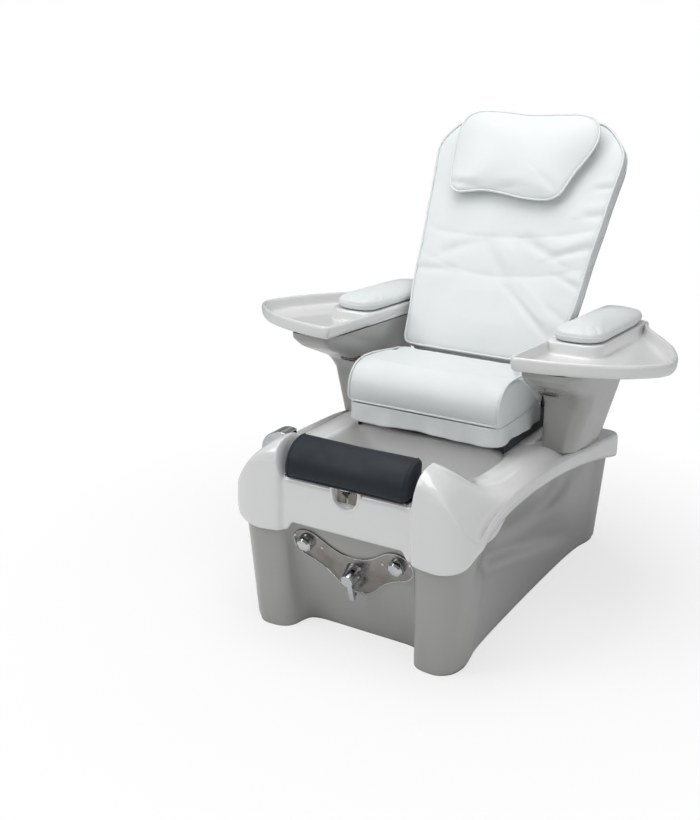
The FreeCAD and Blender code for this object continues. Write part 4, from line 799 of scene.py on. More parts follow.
def carve(piece: Piece, shape: Mesh, solver: str) -> None:
    """Cuts a closed shape out of a piece.

    Args:
        piece: The piece.
        shape: The shape, which is freed.
        solver: The Boolean solver.
    """
    cutter = placed("cutter", shape)
    cut = piece.modifiers.new("Cut", "BOOLEAN")
    cut.object = cutter
    cut.solver = solver
    bake(piece)
    bpy.data.objects.remove(cutter)


# Tub and lower shell

@dataclass
class Tub:
    """White tub moulding: lobed front, flowing skirt, sloping deck and sunk basin."""

    floor_height: float = 0.170
    front_wall_top: float = 0.490
    panel_half_width: float = 0.203
    wall: float = 0.005
    plinth: tuple[float, float] = (0.375, 0.478)
    basin_middle: tuple[float, float] = (0.0, -0.241)
    panel_depth: float = -0.545
    rim_radius: float = 0.024
    notch_half_width: float = 0.040
    notch_bottom: float = 0.430
    notch_top: float = 0.487
    closest: float = 2e-4
    across: int = 420
    ramp_stations: int = 26

    def plan(self) -> Curve:
        """Outer outline with the basin's edge beside it, as one paired loop.

        Returns:
            Outer x and y, then inner x and y.
        """
        return mirrored([(0, -545, 0, -446), (120, -545, 115, -446), (186, -545, 178, -446),
                         (203, -547, 200, -445.5), (216, -557, 214, -443), (262, -560, 232, -436),
                         (318, -558, 248, -424), (364, -538, 260, -405), (387, -495, 267, -375),
                         (391, -430, 270, -335), (391, -320, 270, -270), (393, -160, 270, -180),
                         (396, 0, 267, -105), (399, 150, 255, -64), (402, 330, 232, -44),
                         (404, 480, 200, -36), (399, 532, 165, -36), (374, 556, 130, -36),
                         (250, 558, 85, -36), (0, 558, 0, -36)])

    def skirt_low(self, x: float, y: float) -> float:
        """Height of the skirt's lower edge, which sweeps up behind the lobes.

        Args:
            x: Place across.
            y: Place along.

        Returns:
            The height.
        """
        side = along_line([(-495, 378), (-453, 400), (-393, 418), (-296, 427), (-196, 429), (-91, 425),
                           (20, 417), (179, 394), (355, 359), (510, 318), (558, 306)], y)
        if y > FRONT_ENDS:
            return side
        front = along_line([(178, 350), (196, 324), (240, 318), (280, 315), (318, 320), (345, 328),
                            (365, 340), (380, 358), (387, 375)], abs(x))
        return front + (side - front) * smooth_step(-0.54, FRONT_ENDS, y)

    def top(self, x: float, y: float) -> float:
        """Height of the rim, the lobes and the deck.

        Args:
            x: Place across.
            y: Place along.

        Returns:
            The height.
        """
        ridge = along_line([(-560, 515), (-552, 545), (-535, 566), (-505, 580), (-470, 584), (-445, 575),
                            (-410, 550), (-375, 520), (-355, 507), (-320, 496), (-234, 484), (-100, 478),
                            (30, 474), (290, 427), (558, 385)], y)
        lobe = along_line([(200, 650), (225, 622), (245, 600), (268, 573), (286, 552), (304, 529),
                           (322, 504), (341, 477), (356, 454), (371, 430), (383, 407), (391, 388)], abs(x))
        deck = along_line([(240, 600), (350, 500), (392, 452)], abs(x))
        height = soft_min(ridge + 0.006, lobe + (deck - lobe) * smooth_step(-0.44, -0.26, y), 0.060)
        if y < -0.436:
            height = self.front_wall_top + (height - self.front_wall_top) * smooth_step(
                self.panel_half_width, self.panel_half_width + 0.020, abs(x))
        return height

    def stations(self, plan: Curve) -> list[float]:
        """Shares round the plan, closer together where the lobes rise beside the footrest.

        Args:
            plan: The paired outline.

        Returns:
            The shares in rising order.
        """
        shares, count = evenly(self.across), self.ramp_stations
        ramp = mm([(196, -546, 190, -445.7), (240, -559, 226, -438)])
        for _, side in SIDES:
            first, last = sorted(plan.share_near((side * x, y, side * inner_x, inner_y))
                                 for x, y, inner_x, inner_y in ramp)
            shares += [first + (last - first) * k / count for k in range(count)]
        shares.sort()
        return [share for share, after in zip(shares, shares[1:] + [2.0]) if after - share > self.closest]

    def shape(self) -> Mesh:
        """The skirt, the roll over the rim, the deck and the basin as one skin.

        Returns:
            The skin, open along its lower edge.
        """
        plan = self.plan()
        middle, radius = Vector(self.basin_middle), self.rim_radius
        wall_steps = [(-0.009, 0.004), (-0.007, 0.000), (-0.003, 0.001), (0.000, 0.006), (0.0008, 0.014),
                      (0.001, 0.022)]
        rises = [0.12, 0.3, 0.5, 0.7, 0.86, 1.0]
        rolls = [0.04, 0.12, 0.25, 0.4, 0.6, 0.8, 1.0]
        decks = [(k / 26) ** 1.3 for k in range(1, 27)]
        drops = [(0.004, 0.002), (0.009, 0.007), (0.012, 0.016), (0.013, 0.035)]
        falls = [0.25, 0.5, 0.75, 1.0]
        floors = [(0.12, 0.010), (0.3, 0.001), (0.6, 0.0), (1.0, 0.0)]

        def column(u: float) -> list[Vector]:
            """The section from the skirt's hem over the rim to the basin's middle.

            Args:
                u: Share of the way round, 0 to 1.

            Returns:
                Its points.
            """
            pair = plan.at(u)
            outer, inner = Vector((pair.x, pair.y)), Vector((pair.z, pair.w))
            away = (outer - inner).normalized()
            low = self.skirt_low(outer.x, outer.y)
            outside, within = outer - away * 0.004, outer - away * 0.012
            fall = (self.top(*within) - self.top(*outside)) / (outside - within).length
            start_angle = min(1.25, max(0.0, math.atan(fall)))
            rim = outer - away * radius * (1 - math.sin(start_angle))
            below = radius * math.cos(start_angle)
            edge = max(self.top(*rim), low + below + 0.030)
            line = [Vector((*(outer + away * out), low + up)) for out, up in wall_steps]
            start = low + wall_steps[-1][1]
            for share in rises:
                bulge = 0.001 + 0.001 * math.sin(math.pi * share)
                spot = outer + away * bulge * (1 - share)
                line.append(Vector((*spot, start + (edge - below - start) * share)))
            for share in rolls:
                angle = math.pi / 2 + (start_angle - math.pi / 2) * share
                spot = outer - away * radius * (1 - math.sin(angle))
                line.append(Vector((*spot, edge - below + radius * math.cos(angle))))
            for spot in (rim.lerp(inner, share) for share in decks):
                line.append(Vector((*spot, self.top(*spot))))
            lip = self.top(*inner)
            toward = (middle - inner).normalized()
            line += [Vector((*(inner + toward * inset), lip - drop)) for inset, drop in drops]
            begin, foot = inner + toward * drops[-1][0], inner + toward * 0.028
            head, tail = lip - drops[-1][1], self.floor_height + 0.035
            line += [Vector((*begin.lerp(foot, share), head + (tail - head) * share)) for share in falls]
            line += [Vector((*foot.lerp(middle, share), self.floor_height + up)) for share, up in floors]
            return line

        return loft(self.stations(plan), column, (0.0, 0.0, 1.0))

    def notch_outline(self) -> Curve:
        """The clamp notch's U outline.

        Returns:
            The outline across the panel.
        """
        side, low, high = self.notch_half_width, self.notch_bottom, self.notch_top
        half = [(1.0, 1.0), (0.92, 0.62), (0.707, 0.293), (0.38, 0.076)]
        arc = [(-across, up) for across, up in half] + [(0.0, 0.0)] + half[::-1]
        return Curve([(-side, high)] + [(side * across, low + side * up) for across, up in arc]
                     + [(side, high), (0, high)])

    def build(self) -> None:
        """Makes the moulding, its notch, its plinth and the clamp's recess."""
        tub = settle("tub_moulding", self.shape(), Finish.white_moulding, "base", replaces=("tub_shell",),
                     sharp=60.0)
        thicken(tub, self.wall)
        outline = upright(self.notch_outline(), self.panel_depth - 0.030)
        carve(tub, plate(outline, (0, 0.06, 0), 72, 0.0, (0, -1, 0)), "FAST")
        self.cup()
        bottom, top = self.plinth
        loop = mirrored([(0, -30), (230, -30), (268, -26), (280, -4), (280, 200), (280, 440), (272, 456),
                         (250, 461), (0, 461)])
        step = plate(level(loop, bottom), (0, 0, top - bottom), 120, 0.010, (0, 0, 1))
        settle("deck_plinth", step, Finish.white_moulding, "base", sharp=50.0)

    def cup(self) -> None:
        """The notch's rounded border and the recess behind it."""
        outline = upright(self.notch_outline(), self.panel_depth)
        middle = Vector((0.0, self.panel_depth, self.notch_bottom + 0.035))
        steps = [(0.009, 0.002), (0.007, -0.0005), (0.004, -0.0018), (0.001, -0.0020), (-0.001, -0.0008),
                 (-0.002, 0.003), (-0.0022, 0.014), (-0.006, 0.0165), (-0.03, 0.017)]

        def place(u: float, v: float) -> Vector:
            """A point of the border or the recess.

            Args:
                u: Share of the way round, 0 to 1.
                v: Share of the way in.

            Returns:
                The point.
            """
            grow, depth = steps[round(v * (len(steps) - 1))]
            spot = outline(u)
            return spot + (spot - middle).normalized() * grow + Vector((0.0, depth, 0.0))

        bm = skin(96, len(steps) - 1, place, (0.0, -1.0, 0.0))
        rear = [edge for edge in bm.edges if edge.is_boundary and edge.calc_length() < 0.02
                and edge.verts[0].co.y > self.panel_depth + 0.015]
        bmesh.ops.holes_fill(bm, edges=rear, sides=200)
        face_out(bm, (0.0, -1.0, 0.0))
        thicken(settle("clamp_notch_cup", bm, Finish.white_moulding, "base"), 0.002)


@dataclass
class LowerShell:
    """Pale grey skirt: two front feet, a sloping panel between them and flowing sides."""

    height: float = 0.430
    wall: float = 0.005
    across: int = 380
    rows: int = 54
    ridge_depth: float = 0.030

    def plan(self) -> Curve:
        """Outline at the floor paired with the outline under the tub.

        Returns:
            x and y at the floor, then x and y under the tub.
        """
        return mirrored([(0, -430, 0, -541.5), (110, -430, 130, -541.5), (152, -432, 180, -541.5),
                         (180, -442, 200, -542.5), (192, -470, 210, -544.5), (200, -505, 220, -546.5),
                         (220, -526, 238, -548), (255, -534, 272, -548.5), (295, -530, 318, -546),
                         (324, -506, 354, -526), (336, -465, 371, -485), (334, -425, 373, -430),
                         (324, -370, 368, -370), (319, -280, 363, -280), (317, -120, 360, -120),
                         (317, 40, 360, 40), (319, 200, 361, 200), (323, 340, 364, 340),
                         (331, 430, 369, 430), (343, 485, 377, 485), (343, 520, 379, 518),
                         (325, 538, 362, 537), (270, 540, 300, 540), (0, 540, 0, 540)])

    def valley(self, gap: float, above: float, below: float) -> float:
        """A soft groove, wide on its upper side and tight on its lower."""
        return math.exp(-(gap / (above if gap > 0 else below)) ** 2)

    def inset(self, y: float, z: float) -> float:
        """How far the side is drawn in, along two ridges that sweep to the rear.

        Args:
            y: Place along.
            z: Height.

        Returns:
            The depth of the two grooves there.
        """
        upper = along_line([(-400, 385), (-280, 340), (-166, 303), (-60, 283), (50, 275), (150, 281),
                            (200, 295), (260, 335)], y)
        lower = along_line([(-490, 300), (-430, 311), (-370, 300), (-205, 255), (30, 184), (290, 104),
                            (500, 50)], y)
        first = smooth_step(-0.42, -0.20, y) * (1 - smooth_step(0.12, 0.38, y))
        second = smooth_step(-0.50, -0.32, y) * (1 - smooth_step(0.08, 0.50, y))
        return self.ridge_depth * (0.85 * self.valley(z - upper, 0.090, 0.034) * first
                                   + self.valley(z - lower, 0.085, 0.034) * second)

    def build(self) -> None:
        """Lays the skirt and gives it its wall."""
        plan, tub = self.plan(), Tub()

        def column(u: float) -> list[Vector]:
            """The side's section from the floor up to the tub.

            Args:
                u: Share of the way round, 0 to 1.

            Returns:
                Its points.
            """
            low = plan.at(u)
            rim = tub.skirt_low(low.z * 1.05, low.w) + 0.018
            line = []
            for row in range(self.rows + 1):
                z = rim * row / self.rows
                share = z / self.height
                x = low.x + (low.z - low.x) * share
                y = low.y + (low.w - low.y) * share
                toe = 0.006 * (1 - smooth_step(0.0, 0.020, z))
                side = smooth_step(0.26, 0.32, abs(x))
                x -= math.copysign((self.inset(y, z) + toe) * side, x)
                line.append(Vector((x, y, z)))
            return line

        bm = loft(evenly(self.across), column, (1.0, 0.0, 0.0))
        shell = settle("lower_shell_moulding", bm, Finish.grey_moulding, "base", replaces=("base_shell",),
                       sharp=70.0)
        thicken(shell, self.wall)


def cornered(rows: Pairs) -> Curve:
    """A closed outline with straight sides and rounded corners.

    Args:
        rows: Each corner and its radius, in order, in millimetres.

    Returns:
        The outline as a curve.
    """
    corners = [(Vector((x, y)), radius) for x, y, radius in mm(rows)]
    arcs: list[list[Vector]] = []
    for index, (corner, radius) in enumerate(corners):
        back = (corners[index - 1][0] - corner).normalized()
        ahead = (corners[(index + 1) % len(corners)][0] - corner).normalized()
        half = math.acos(max(-1.0, min(1.0, back.dot(ahead)))) / 2
        reach = radius / math.tan(half)
        middle = corner + (back + ahead).normalized() * radius / math.sin(half)
        first, last = corner + back * reach - middle, corner + ahead * reach - middle
        begin = math.atan2(first.y, first.x)
        sweep = (math.atan2(last.y, last.x) - begin + math.pi) % (2 * math.pi) - math.pi
        turns = [begin + sweep * step / 6 for step in range(7)]
        arcs.append([middle + Vector((math.cos(turn), math.sin(turn))) * radius for turn in turns])
    path: list[Vector] = []
    for arc, following in zip(arcs, arcs[1:] + arcs[:1]):
        path += arc + [arc[-1].lerp(following[0], share) for share in (0.33, 0.67)]
    return Curve(path)


# Columns and arms

@dataclass
class Columns:
    """Grey columns that flare forward under the trays, with a pocket for each latch."""

    inner: float = 0.300
    outer_foot: float = 0.385
    outer_head: float = 0.478
    front: float = 0.075
    rear: float = 0.395
    pocket_width: float = 0.070
    pocket_height: float = 0.028
    pocket_depth: float = 0.016
    latch_at: Triple = (0.334, 0.0357, 0.6558)
    latch_slope: float = 58.8
    flare: tuple[float, float] = (0.41, 0.75)
    deck_front: tuple[float, float] = (0.030, 0.476)
    deck_fall: float = 0.091 / 0.528
    sunk: float = 0.002
    under_tray: float = 0.0135

    def front_at(self, z: float) -> float:
        """Depth of the front face at a height: upright, then sweeping forward."""
        sweep = [(610, self.front * 1000), (650, 46), (688, -28), (720, -95), (752, -132)]
        return along_line(sweep, z)

    def outer_at(self, z: float) -> float:
        """Half width of the outer face at a height.

        Args:
            z: Height.

        Returns:
            The half width.
        """
        low, high = self.flare
        share = min(1.0, max(0.0, (z - low) / (high - low)))
        return self.outer_foot + (self.outer_head - self.outer_foot) * share

    def foot_at(self, y: float) -> float:
        """Height of the deck under the column."""
        depth, height = self.deck_front
        return height - (y - depth) * self.deck_fall - self.sunk

    def head_at(self, y: float) -> float:
        """Height of the tray's underside."""
        return (ARM_FRAME @ Vector((0.0, y - ARM_AXIS.y, self.under_tray))).z

    def shape(self) -> Mesh:
        """The left column as one closed form.

        Returns:
            The closed form.
        """
        square = cornered([(0, 0, 180), (1000, 0, 260), (1000, 1000, 120), (0, 1000, 100)])
        rows = 46

        def place(u: float, v: float) -> Vector:
            """A point of the column's skin, its ends closed at their middles.

            Args:
                u: Share of the way round, 0 to 1.
                v: Share of the way up.

            Returns:
                The point.
            """
            row = round(v * (rows + 2))
            spot = Vector((0.5, 0.5)) if row in (0, rows + 2) else square.at(u)
            share = min(1.0, max(0.0, (row - 1) / rows))
            z = 0.43 + 0.33 * share
            for _ in range(3):
                y = self.front_at(z) + (self.rear - self.front_at(z)) * spot.y
                z = self.foot_at(y) + (self.head_at(y) - self.foot_at(y)) * share
            return Vector((self.inner + (self.outer_at(z) - self.inner) * spot.x, y, z))

        return skin(96, rows + 2, place, (1.0, 0.0, 0.0))

    def latch_frame(self) -> Matrix:
        """Local Z out of the sloping face, local Y up it."""
        return (Matrix.Translation(self.latch_at)
                @ Matrix.Rotation(math.radians(90.0 + self.latch_slope), 4, "X"))

    def mouth(self, grow: float) -> list[tuple[float, float]]:
        """The lens outline of the pocket's mouth, grown on all sides.

        Args:
            grow: How far it is grown.

        Returns:
            The points in the plane of the face.
        """
        half, high = self.pocket_width / 2 + grow, self.pocket_height / 2 + grow
        waves = [(math.cos(turn), math.sin(turn)) for turn in (2 * math.pi * share for share in evenly(28))]
        return [(half * wide, high * math.copysign(abs(tall) ** 1.15, tall)) for wide, tall in waves]

    def lens(self, grow: float, depth: float, rise: float) -> Mesh:
        """A lens-shaped plug at the latch."""
        stand, foot = self.latch_frame(), level(Curve(self.mouth(grow)), -depth)
        return plate(foot, (0, 0, depth + rise), 64, 0.0, stand.col[2][:3], stand)

    def bezel(self) -> Mesh:
        """The bright ring round the pocket's mouth, drawn in where it would pass the column's edge.

        Returns:
            The ring.
        """
        stand = self.latch_frame()
        ring = Curve([stand @ Vector((max(-0.021, wide), tall, 0.0006)) for wide, tall in self.mouth(0.001)])
        return cord(ring.at, 0.0022, 120, stand.to_3x3() @ Vector((0, 0, 1)))

    def build(self) -> None:
        """Makes both columns with their pockets."""
        depth = self.pocket_depth
        for side, sign in SIDES:
            form, plug, bezel = self.shape(), self.lens(0.0, depth, 0.06), self.bezel()
            # A black dish in each pocket: painted shade, standing for the dark depth of the pocket.
            shade_liner = self.lens(-0.0008, depth + 0.0005, 0.001 - depth)
            if sign < 0:
                for shape in (form, plug, shade_liner, bezel):
                    flip_sides(shape)
            column = settle(f"{side}_column_moulding", form, Finish.grey_moulding, "base",
                            replaces=(f"{side}_arm_column",), sharp=50.0)
            carve(column, plug, "EXACT")
            column.data.set_sharp_from_angle(angle=math.radians(50))
            # The black liner is painted shade in the pocket.
            settle(f"{side}_latch_painted_shade_liner", shade_liner, Finish.black_plastic, "base")
            # The ring takes the darker brown chrome in place of its chrome slot: painted shade under the
            # tray.
            settle(f"{side}_latch_bezel", bezel, Finish.dull_chrome, "base", "chrome_fitting", sharp=75.0)


@dataclass
class Trays:
    """White arm mouldings: a rimmed dish that wings outward, and the pad's platform."""

    bottom: float = 0.0142
    floor: float = 0.019
    platform_top: float = 0.0556
    centre: tuple[float, float] = (0.415, -0.330)
    platform_centre: tuple[float, float] = (0.385, -0.100)
    across: int = 260

    def plan(self) -> Curve:
        """The tray's outline in the arm's frame.

        Returns:
            The outline.
        """
        return Curve(mm([(298.5, 30), (297.2, -60), (296.8, -150), (294.5, -300), (293, -450),
                         (293.5, -560), (296, -582), (306, -589), (345, -586.5), (400, -576.5), (450, -562),
                         (500, -543), (555, -515), (604, -479), (646, -436), (672, -402), (684, -370),
                         (685, -335), (677, -290), (658, -235), (627, -164), (592, -105), (556, -50),
                         (522, 0), (494, 45), (474, 90), (463.5, 125), (455, 143), (438, 149.5), (380, 150),
                         (330, 150), (312, 147.5), (306, 138), (302.5, 95)]))

    def dish(self) -> Mesh:
        """The left dish as one closed skin.

        Returns:
            The dish.
        """
        plan, centre = self.plan(), Vector(self.centre)
        turn = 1.0 if plan.inward(0.0).x > 0 else -1.0
        profile = mm([(26, 14.2), (13, 15), (6, 18.5), (2.5, 24.5), (0.6, 33), (0, 42), (0.2, 49),
                      (1.8, 53.5), (4.5, 55.8), (7.5, 56.2), (10, 55.2), (11.8, 52.5), (12.6, 47),
                      (13.2, 36), (14.5, 27), (18, 21.2), (24, 19.2)])
        shares = (0.3, 0.65, 1.0)

        def column(u: float) -> list[Vector]:
            """The section from the underside's middle round the rim to the floor's middle.

            Args:
                u: Share of the way round, 0 to 1.

            Returns:
                Its points.
            """
            spot, way = plan.at(u), plan.inward(u) * turn
            first, last = spot + way * profile[0][0], spot + way * profile[-1][0]
            line = [Vector((*first.lerp(centre, share), self.bottom)) for share in reversed(shares)]
            line += [Vector((*(spot + way * inset), height)) for inset, height in profile]
            return line + [Vector((*last.lerp(centre, share), self.floor)) for share in shares]

        return loft(evenly(self.across), column, (1.0, 0.0, 0.0), ARM_FRAME)

    def platform(self) -> Mesh:
        """The raised block under the pad, its outer side flaring into the dish.

        Returns:
            The block.
        """
        loop = cornered([(299, -336, 12), (462, -336, 62), (462, 30, 50), (450, 144, 12), (312, 144, 6),
                         (299, 10, 50)])
        rows = mm([(-10, 18.5), (-4.5, 20.5), (-1.5, 26), (0, 36), (0.8, 48), (2.2, 53.5), (5, 55.6),
                   (10, 55.6)])
        centre = Vector(self.platform_centre)
        turn = 1.0 if loop.inward(0.0).dot(centre - loop.at(0.0)) > 0 else -1.0

        def column(u: float) -> list[Vector]:
            """The section from the foot's middle up the side to the top's middle.

            Args:
                u: Share of the way round, 0 to 1.

            Returns:
                Its points.
            """
            line = [Vector((*centre, rows[0][1]))]
            for inset, height in rows:
                spot = loop.at(u) + loop.inward(u) * turn * inset
                line.append(Vector((max(0.2975, spot.x), min(0.1455, spot.y), height)))
            return line + [Vector((*centre, self.platform_top))]

        return loft(evenly(120), column, (0.0, 0.0, 1.0), ARM_FRAME)

    def build(self) -> None:
        """Makes both arm mouldings."""
        for side, sign in SIDES:
            for name, shape, nodes in (("tray_moulding", self.dish(), (f"{side}_arm_tray",)),
                                       ("pad_platform", self.platform(), ())):
                if sign < 0:
                    flip_sides(shape)
                settle(f"{side}_{name}", shape, Finish.white_moulding, f"{side}_arm", replaces=nodes,
                       sharp=60.0)


# Upholstery

@dataclass(frozen=True)
class Fold:
    """A crease in a cover: a valley between two places with a soft ridge beside it."""

    start: tuple[float, float]
    end: tuple[float, float]
    width: float
    depth: float

    def lift(self, a: float, b: float) -> float:
        """Height that the fold adds at a place of the cover.

        Args:
            a: Place across the cover.
            b: Place up the cover.

        Returns:
            The height, below zero in the valley.
        """
        start, span = Vector(self.start), Vector(self.end) - Vector(self.start)
        off = Vector((a, b)) - start
        share = max(0.0, min(1.0, off.dot(span) / span.length_squared))
        away = off - span * share
        gap = math.copysign(away.length, span.x * off.y - span.y * off.x)
        fade = math.sin(math.pi * (0.12 + 0.76 * share)) ** 0.7
        ridge = math.exp(-((gap - 2.2 * self.width) / (1.5 * self.width)) ** 2)
        return self.depth * fade * (0.7 * ridge - math.exp(-(gap / self.width) ** 2))


def creases(rows: Pairs) -> list[Fold]:
    """Folds from rows of start, end, width and depth in millimetres."""
    return [Fold((a, b), (c, d), width, depth) for a, b, c, d, width, depth in mm(rows)]


@dataclass
class Pad:
    """A stuffed form between two faces, given in its own (a, b, c) frame."""

    name: str
    outline: Curve
    low: Callable[[float], float]
    high: Callable[[float], float]
    frame: Matrix
    lowest: Triple
    highest: Triple
    rounding: float
    voxel: float
    cap: float
    pressure: float = 4.0
    drawn_in: float = 0.002
    groove: float = 0.0015
    middle: Vector = field(init=False)
    turn: float = field(init=False)

    def __post_init__(self) -> None:
        """Finds the outline's centre and which way round it runs."""
        samples = self.outline.samples
        self.middle = sum(samples, Vector((0.0, 0.0))) / len(samples)
        area = sum(p.x * q.y - p.y * q.x for p, q in zip(samples, samples[1:]))
        self.turn = math.copysign(1.0, area)

    def spot(self, u: float, inset: float) -> Vector:
        """A point on the outline, moved inward."""
        return self.outline.at(u) + self.outline.inward(u) * self.turn * inset

    def form(self) -> Mesh:
        """The pad as cut, before it swells.

        Returns:
            The form, closed.
        """
        rings = (0.0, 0.2, 0.4, 0.6, 0.75, 0.88)
        steps = 5

        def column(u: float) -> list[Vector]:
            """The section from the low face's middle round the edge to the high face's middle.

            Args:
                u: Share of the way round, 0 to 1.

            Returns:
                Its points.
            """
            inner = self.spot(u, self.rounding)
            places = [(self.middle.lerp(inner, share), share, 0.0) for share in rings]
            for angle in (step / steps * math.pi / 2 for step in range(steps + 1)):
                here = self.spot(u, self.rounding * (1 - math.sin(angle)) + HAIR)
                places.append((here, 1.0, self.rounding * (1 - math.cos(angle))))
            below = [Vector((*here, self.low(share) + drop)) for here, share, drop in places]
            above = [Vector((*here, self.high(share) - drop)) for here, share, drop in places]
            waist = Vector((*self.spot(u, self.drawn_in), (self.low(1.0) + self.high(1.0)) / 2))
            return below + [waist] + above[::-1]

        return loft(evenly(150), column, (0.0, 0.0, 1.0), self.frame)

    def along(self, inset: float, level: float) -> list[Vector]:
        """Points of a line round the outline at a level, in the pad's frame."""
        return [Vector((*self.spot(share, inset), level)) for share in evenly(200)]

    def build(self, finish: Finish, body: str, replaces: Sequence[str], fill: float,
              seams: Sequence[Sequence[Vector]], folds: Sequence[Fold] = (), side: int = 1) -> Piece:
        """Remeshes, swells, creases and settles the pad.

        Args:
            finish: The cover.
            body: The CAD body it moves with.
            replaces: CAD nodes it stands for.
            fill: How tightly it is stuffed; not used.
            seams: Lines in the pad's frame that stay held while it swells.
            folds: Creases on its show face.
            side: 1 where the show face is the high one, -1 for the low one.

        Returns:
            The pad.
        """
        piece = placed(self.name, self.form())
        even = piece.modifiers.new("Even", "REMESH")
        even.mode = "VOXEL"
        even.voxel_size = self.voxel
        mesh = bake(piece)
        lines = [self.frame @ point for seam in seams for point in seam]
        tree = KDTree(len(lines))
        for index, point in enumerate(lines):
            tree.insert(point, index)
        tree.balance()
        gaps = [tree.find(vert.co)[2] for vert in mesh.vertices]
        start = [vert.co.copy() for vert in mesh.vertices]
        self.swell(piece, gaps)
        shaped = bake(piece)
        piece.vertex_groups.clear()
        self.limit(shaped, start, gaps, folds, side)
        shaped.materials.clear()
        shaped.materials.append(material_of(finish))
        shaped.shade_smooth()
        smoother = piece.modifiers.new("Smooth", "SUBSURF")
        smoother.levels = smoother.render_levels = 1
        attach(piece, body)
        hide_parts(*replaces)
        LOG.info("%s: %d faces on %s", self.name, len(shaped.polygons), body)
        return piece

    def swell(self, piece: Piece, gaps: Sequence[float]) -> None:
        """Runs the cover as cloth under pressure, held along its seams.

        Args:
            piece: The cover.
            gaps: Each point's distance from the nearest seam.
        """
        held = piece.vertex_groups.new(name="held")
        for index, gap in enumerate(gaps):
            weight = 1.0 - smooth_step(0.5 * self.voxel, 1.6 * self.voxel, gap)
            if weight > 0:
                held.add([index], weight, "REPLACE")
        cloth = piece.modifiers.new("Swell", "CLOTH")
        cloth.settings.use_pressure = True
        cloth.settings.uniform_pressure_force = self.pressure
        cloth.settings.effector_weights.gravity = 0.0
        cloth.settings.vertex_group_mass = "held"
        cloth.settings.quality = 5
        cloth.settings.bending_stiffness = 0.8
        cloth.point_cache.frame_start = 1
        cloth.point_cache.frame_end = SWELL_FRAMES
        for now in range(1, SWELL_FRAMES + 1):
            bpy.context.scene.frame_set(now)

    def limit(self, mesh: bpy.types.Mesh, start: Sequence[Vector], gaps: Sequence[float],
              folds: Sequence[Fold], side: int) -> None:
        """Caps the swelling, lays in grooves and folds, and keeps within the pad's space.

        Args:
            mesh: The swollen cover.
            start: Its points before it swelled.
            gaps: Each point's distance from the nearest seam.
            folds: Creases on the show face.
            side: 1 where the show face is the high one, -1 for the low one.
        """
        back = self.frame.inverted()
        middle = (self.low(1.0) + self.high(1.0)) / 2
        for vert, before, gap in zip(mesh.vertices, start, gaps):
            move = vert.co - before
            if move.length > self.cap:
                move.length = self.cap
            here = back @ (before + move)
            if (here.z - middle) * side > 0:
                lift = sum(fold.lift(here.x, here.y) for fold in folds)
                here.z += side * (lift - self.groove * math.exp(-(gap / CREASE) ** 2))
            for axis in range(3):
                here[axis] = min(self.highest[axis], max(self.lowest[axis], here[axis]))
            vert.co = self.frame @ here


def piping(name: str, points: Sequence[Vector], frame_of: Matrix, radius: float, body: str,
           finish: Finish = Finish.white_leather, facing: Triple = (0, 0, 1), closed: bool = True,
           along: int = 220) -> Piece:
    """A covered cord sewn in along a line.

    Args:
        name: The piece's name.
        points: The line in a pad's frame.
        frame_of: That frame.
        radius: The cord's radius.
        body: The CAD body it moves with.
        finish: Its cover.
        facing: A way square to the line's plane, in the pad's frame.
        closed: Whether it meets itself.
        along: Steps along it.

    Returns:
        The piping.
    """
    curve = Curve([frame_of @ point for point in points], closed)
    way = (frame_of.to_3x3() @ Vector(facing)).normalized()
    return settle(name, cord(curve.at, radius, along, way, closed), finish, body, sharp=75.0)


@dataclass
class Footrest:
    """Navy padded roll: quarter-round in section, with rounded ends and a covered board below."""

    half_width: float = 0.1985
    front: float = -0.5555
    rear: float = -0.4590
    low: float = 0.4948
    high: float = 0.5938

    def build(self) -> None:
        """Makes the roll and the cord round each end."""
        depth, height = self.rear - self.front, self.high - self.low
        turns = [math.pi / 2 * k / 10 for k in range(11)]
        arc = [(self.rear - 0.010 - (depth - 0.012) * math.sin(turn),
                self.low + 0.020 + (height - 0.021) * math.cos(turn)) for turn in turns]
        loop = [(self.rear, self.low + 0.006), (self.rear, self.low + 0.05), (self.rear, self.high - 0.010),
                (self.rear - 0.004, self.high - 0.002), *arc, (self.front + 0.0012, self.low + 0.004),
                (self.front + 0.006, self.low), (-0.51, self.low), (self.rear - 0.006, self.low)]
        pad = Pad("footrest_roll", Curve(loop), lambda share: -self.half_width + 0.004 * share ** 2,
                  lambda share: self.half_width - 0.004 * share ** 2, SIDE_VIEW,
                  (self.front, self.low, -self.half_width), (self.rear, self.high, self.half_width),
                  rounding=0.014, voxel=0.005, cap=0.004, pressure=2.0, drawn_in=0.0, groove=0.0006)
        ends = [pad.along(0.0, sign * (self.half_width - 0.0185)) for sign in (-1, 1)]
        pad.build(Finish.dark_leather, "footrest", ("footrest_cushion",), 0.95, ends)
        for side, end in zip(("right", "left"), ends):
            piping(f"footrest_{side}_welt", end, SIDE_VIEW, 0.0010, "footrest", Finish.dark_leather)
        edge = cornered([(-192.8, -550.3, 2), (192.8, -550.3, 2), (192.8, -462.7, 2), (-192.8, -462.7, 2)])
        board = plate(level(edge, 0.4904), (0, 0, 0.0046), 80, 0.0, (0.0, 0.0, 1.0))
        settle("footrest_board_cover", board, Finish.dark_leather, "footrest")


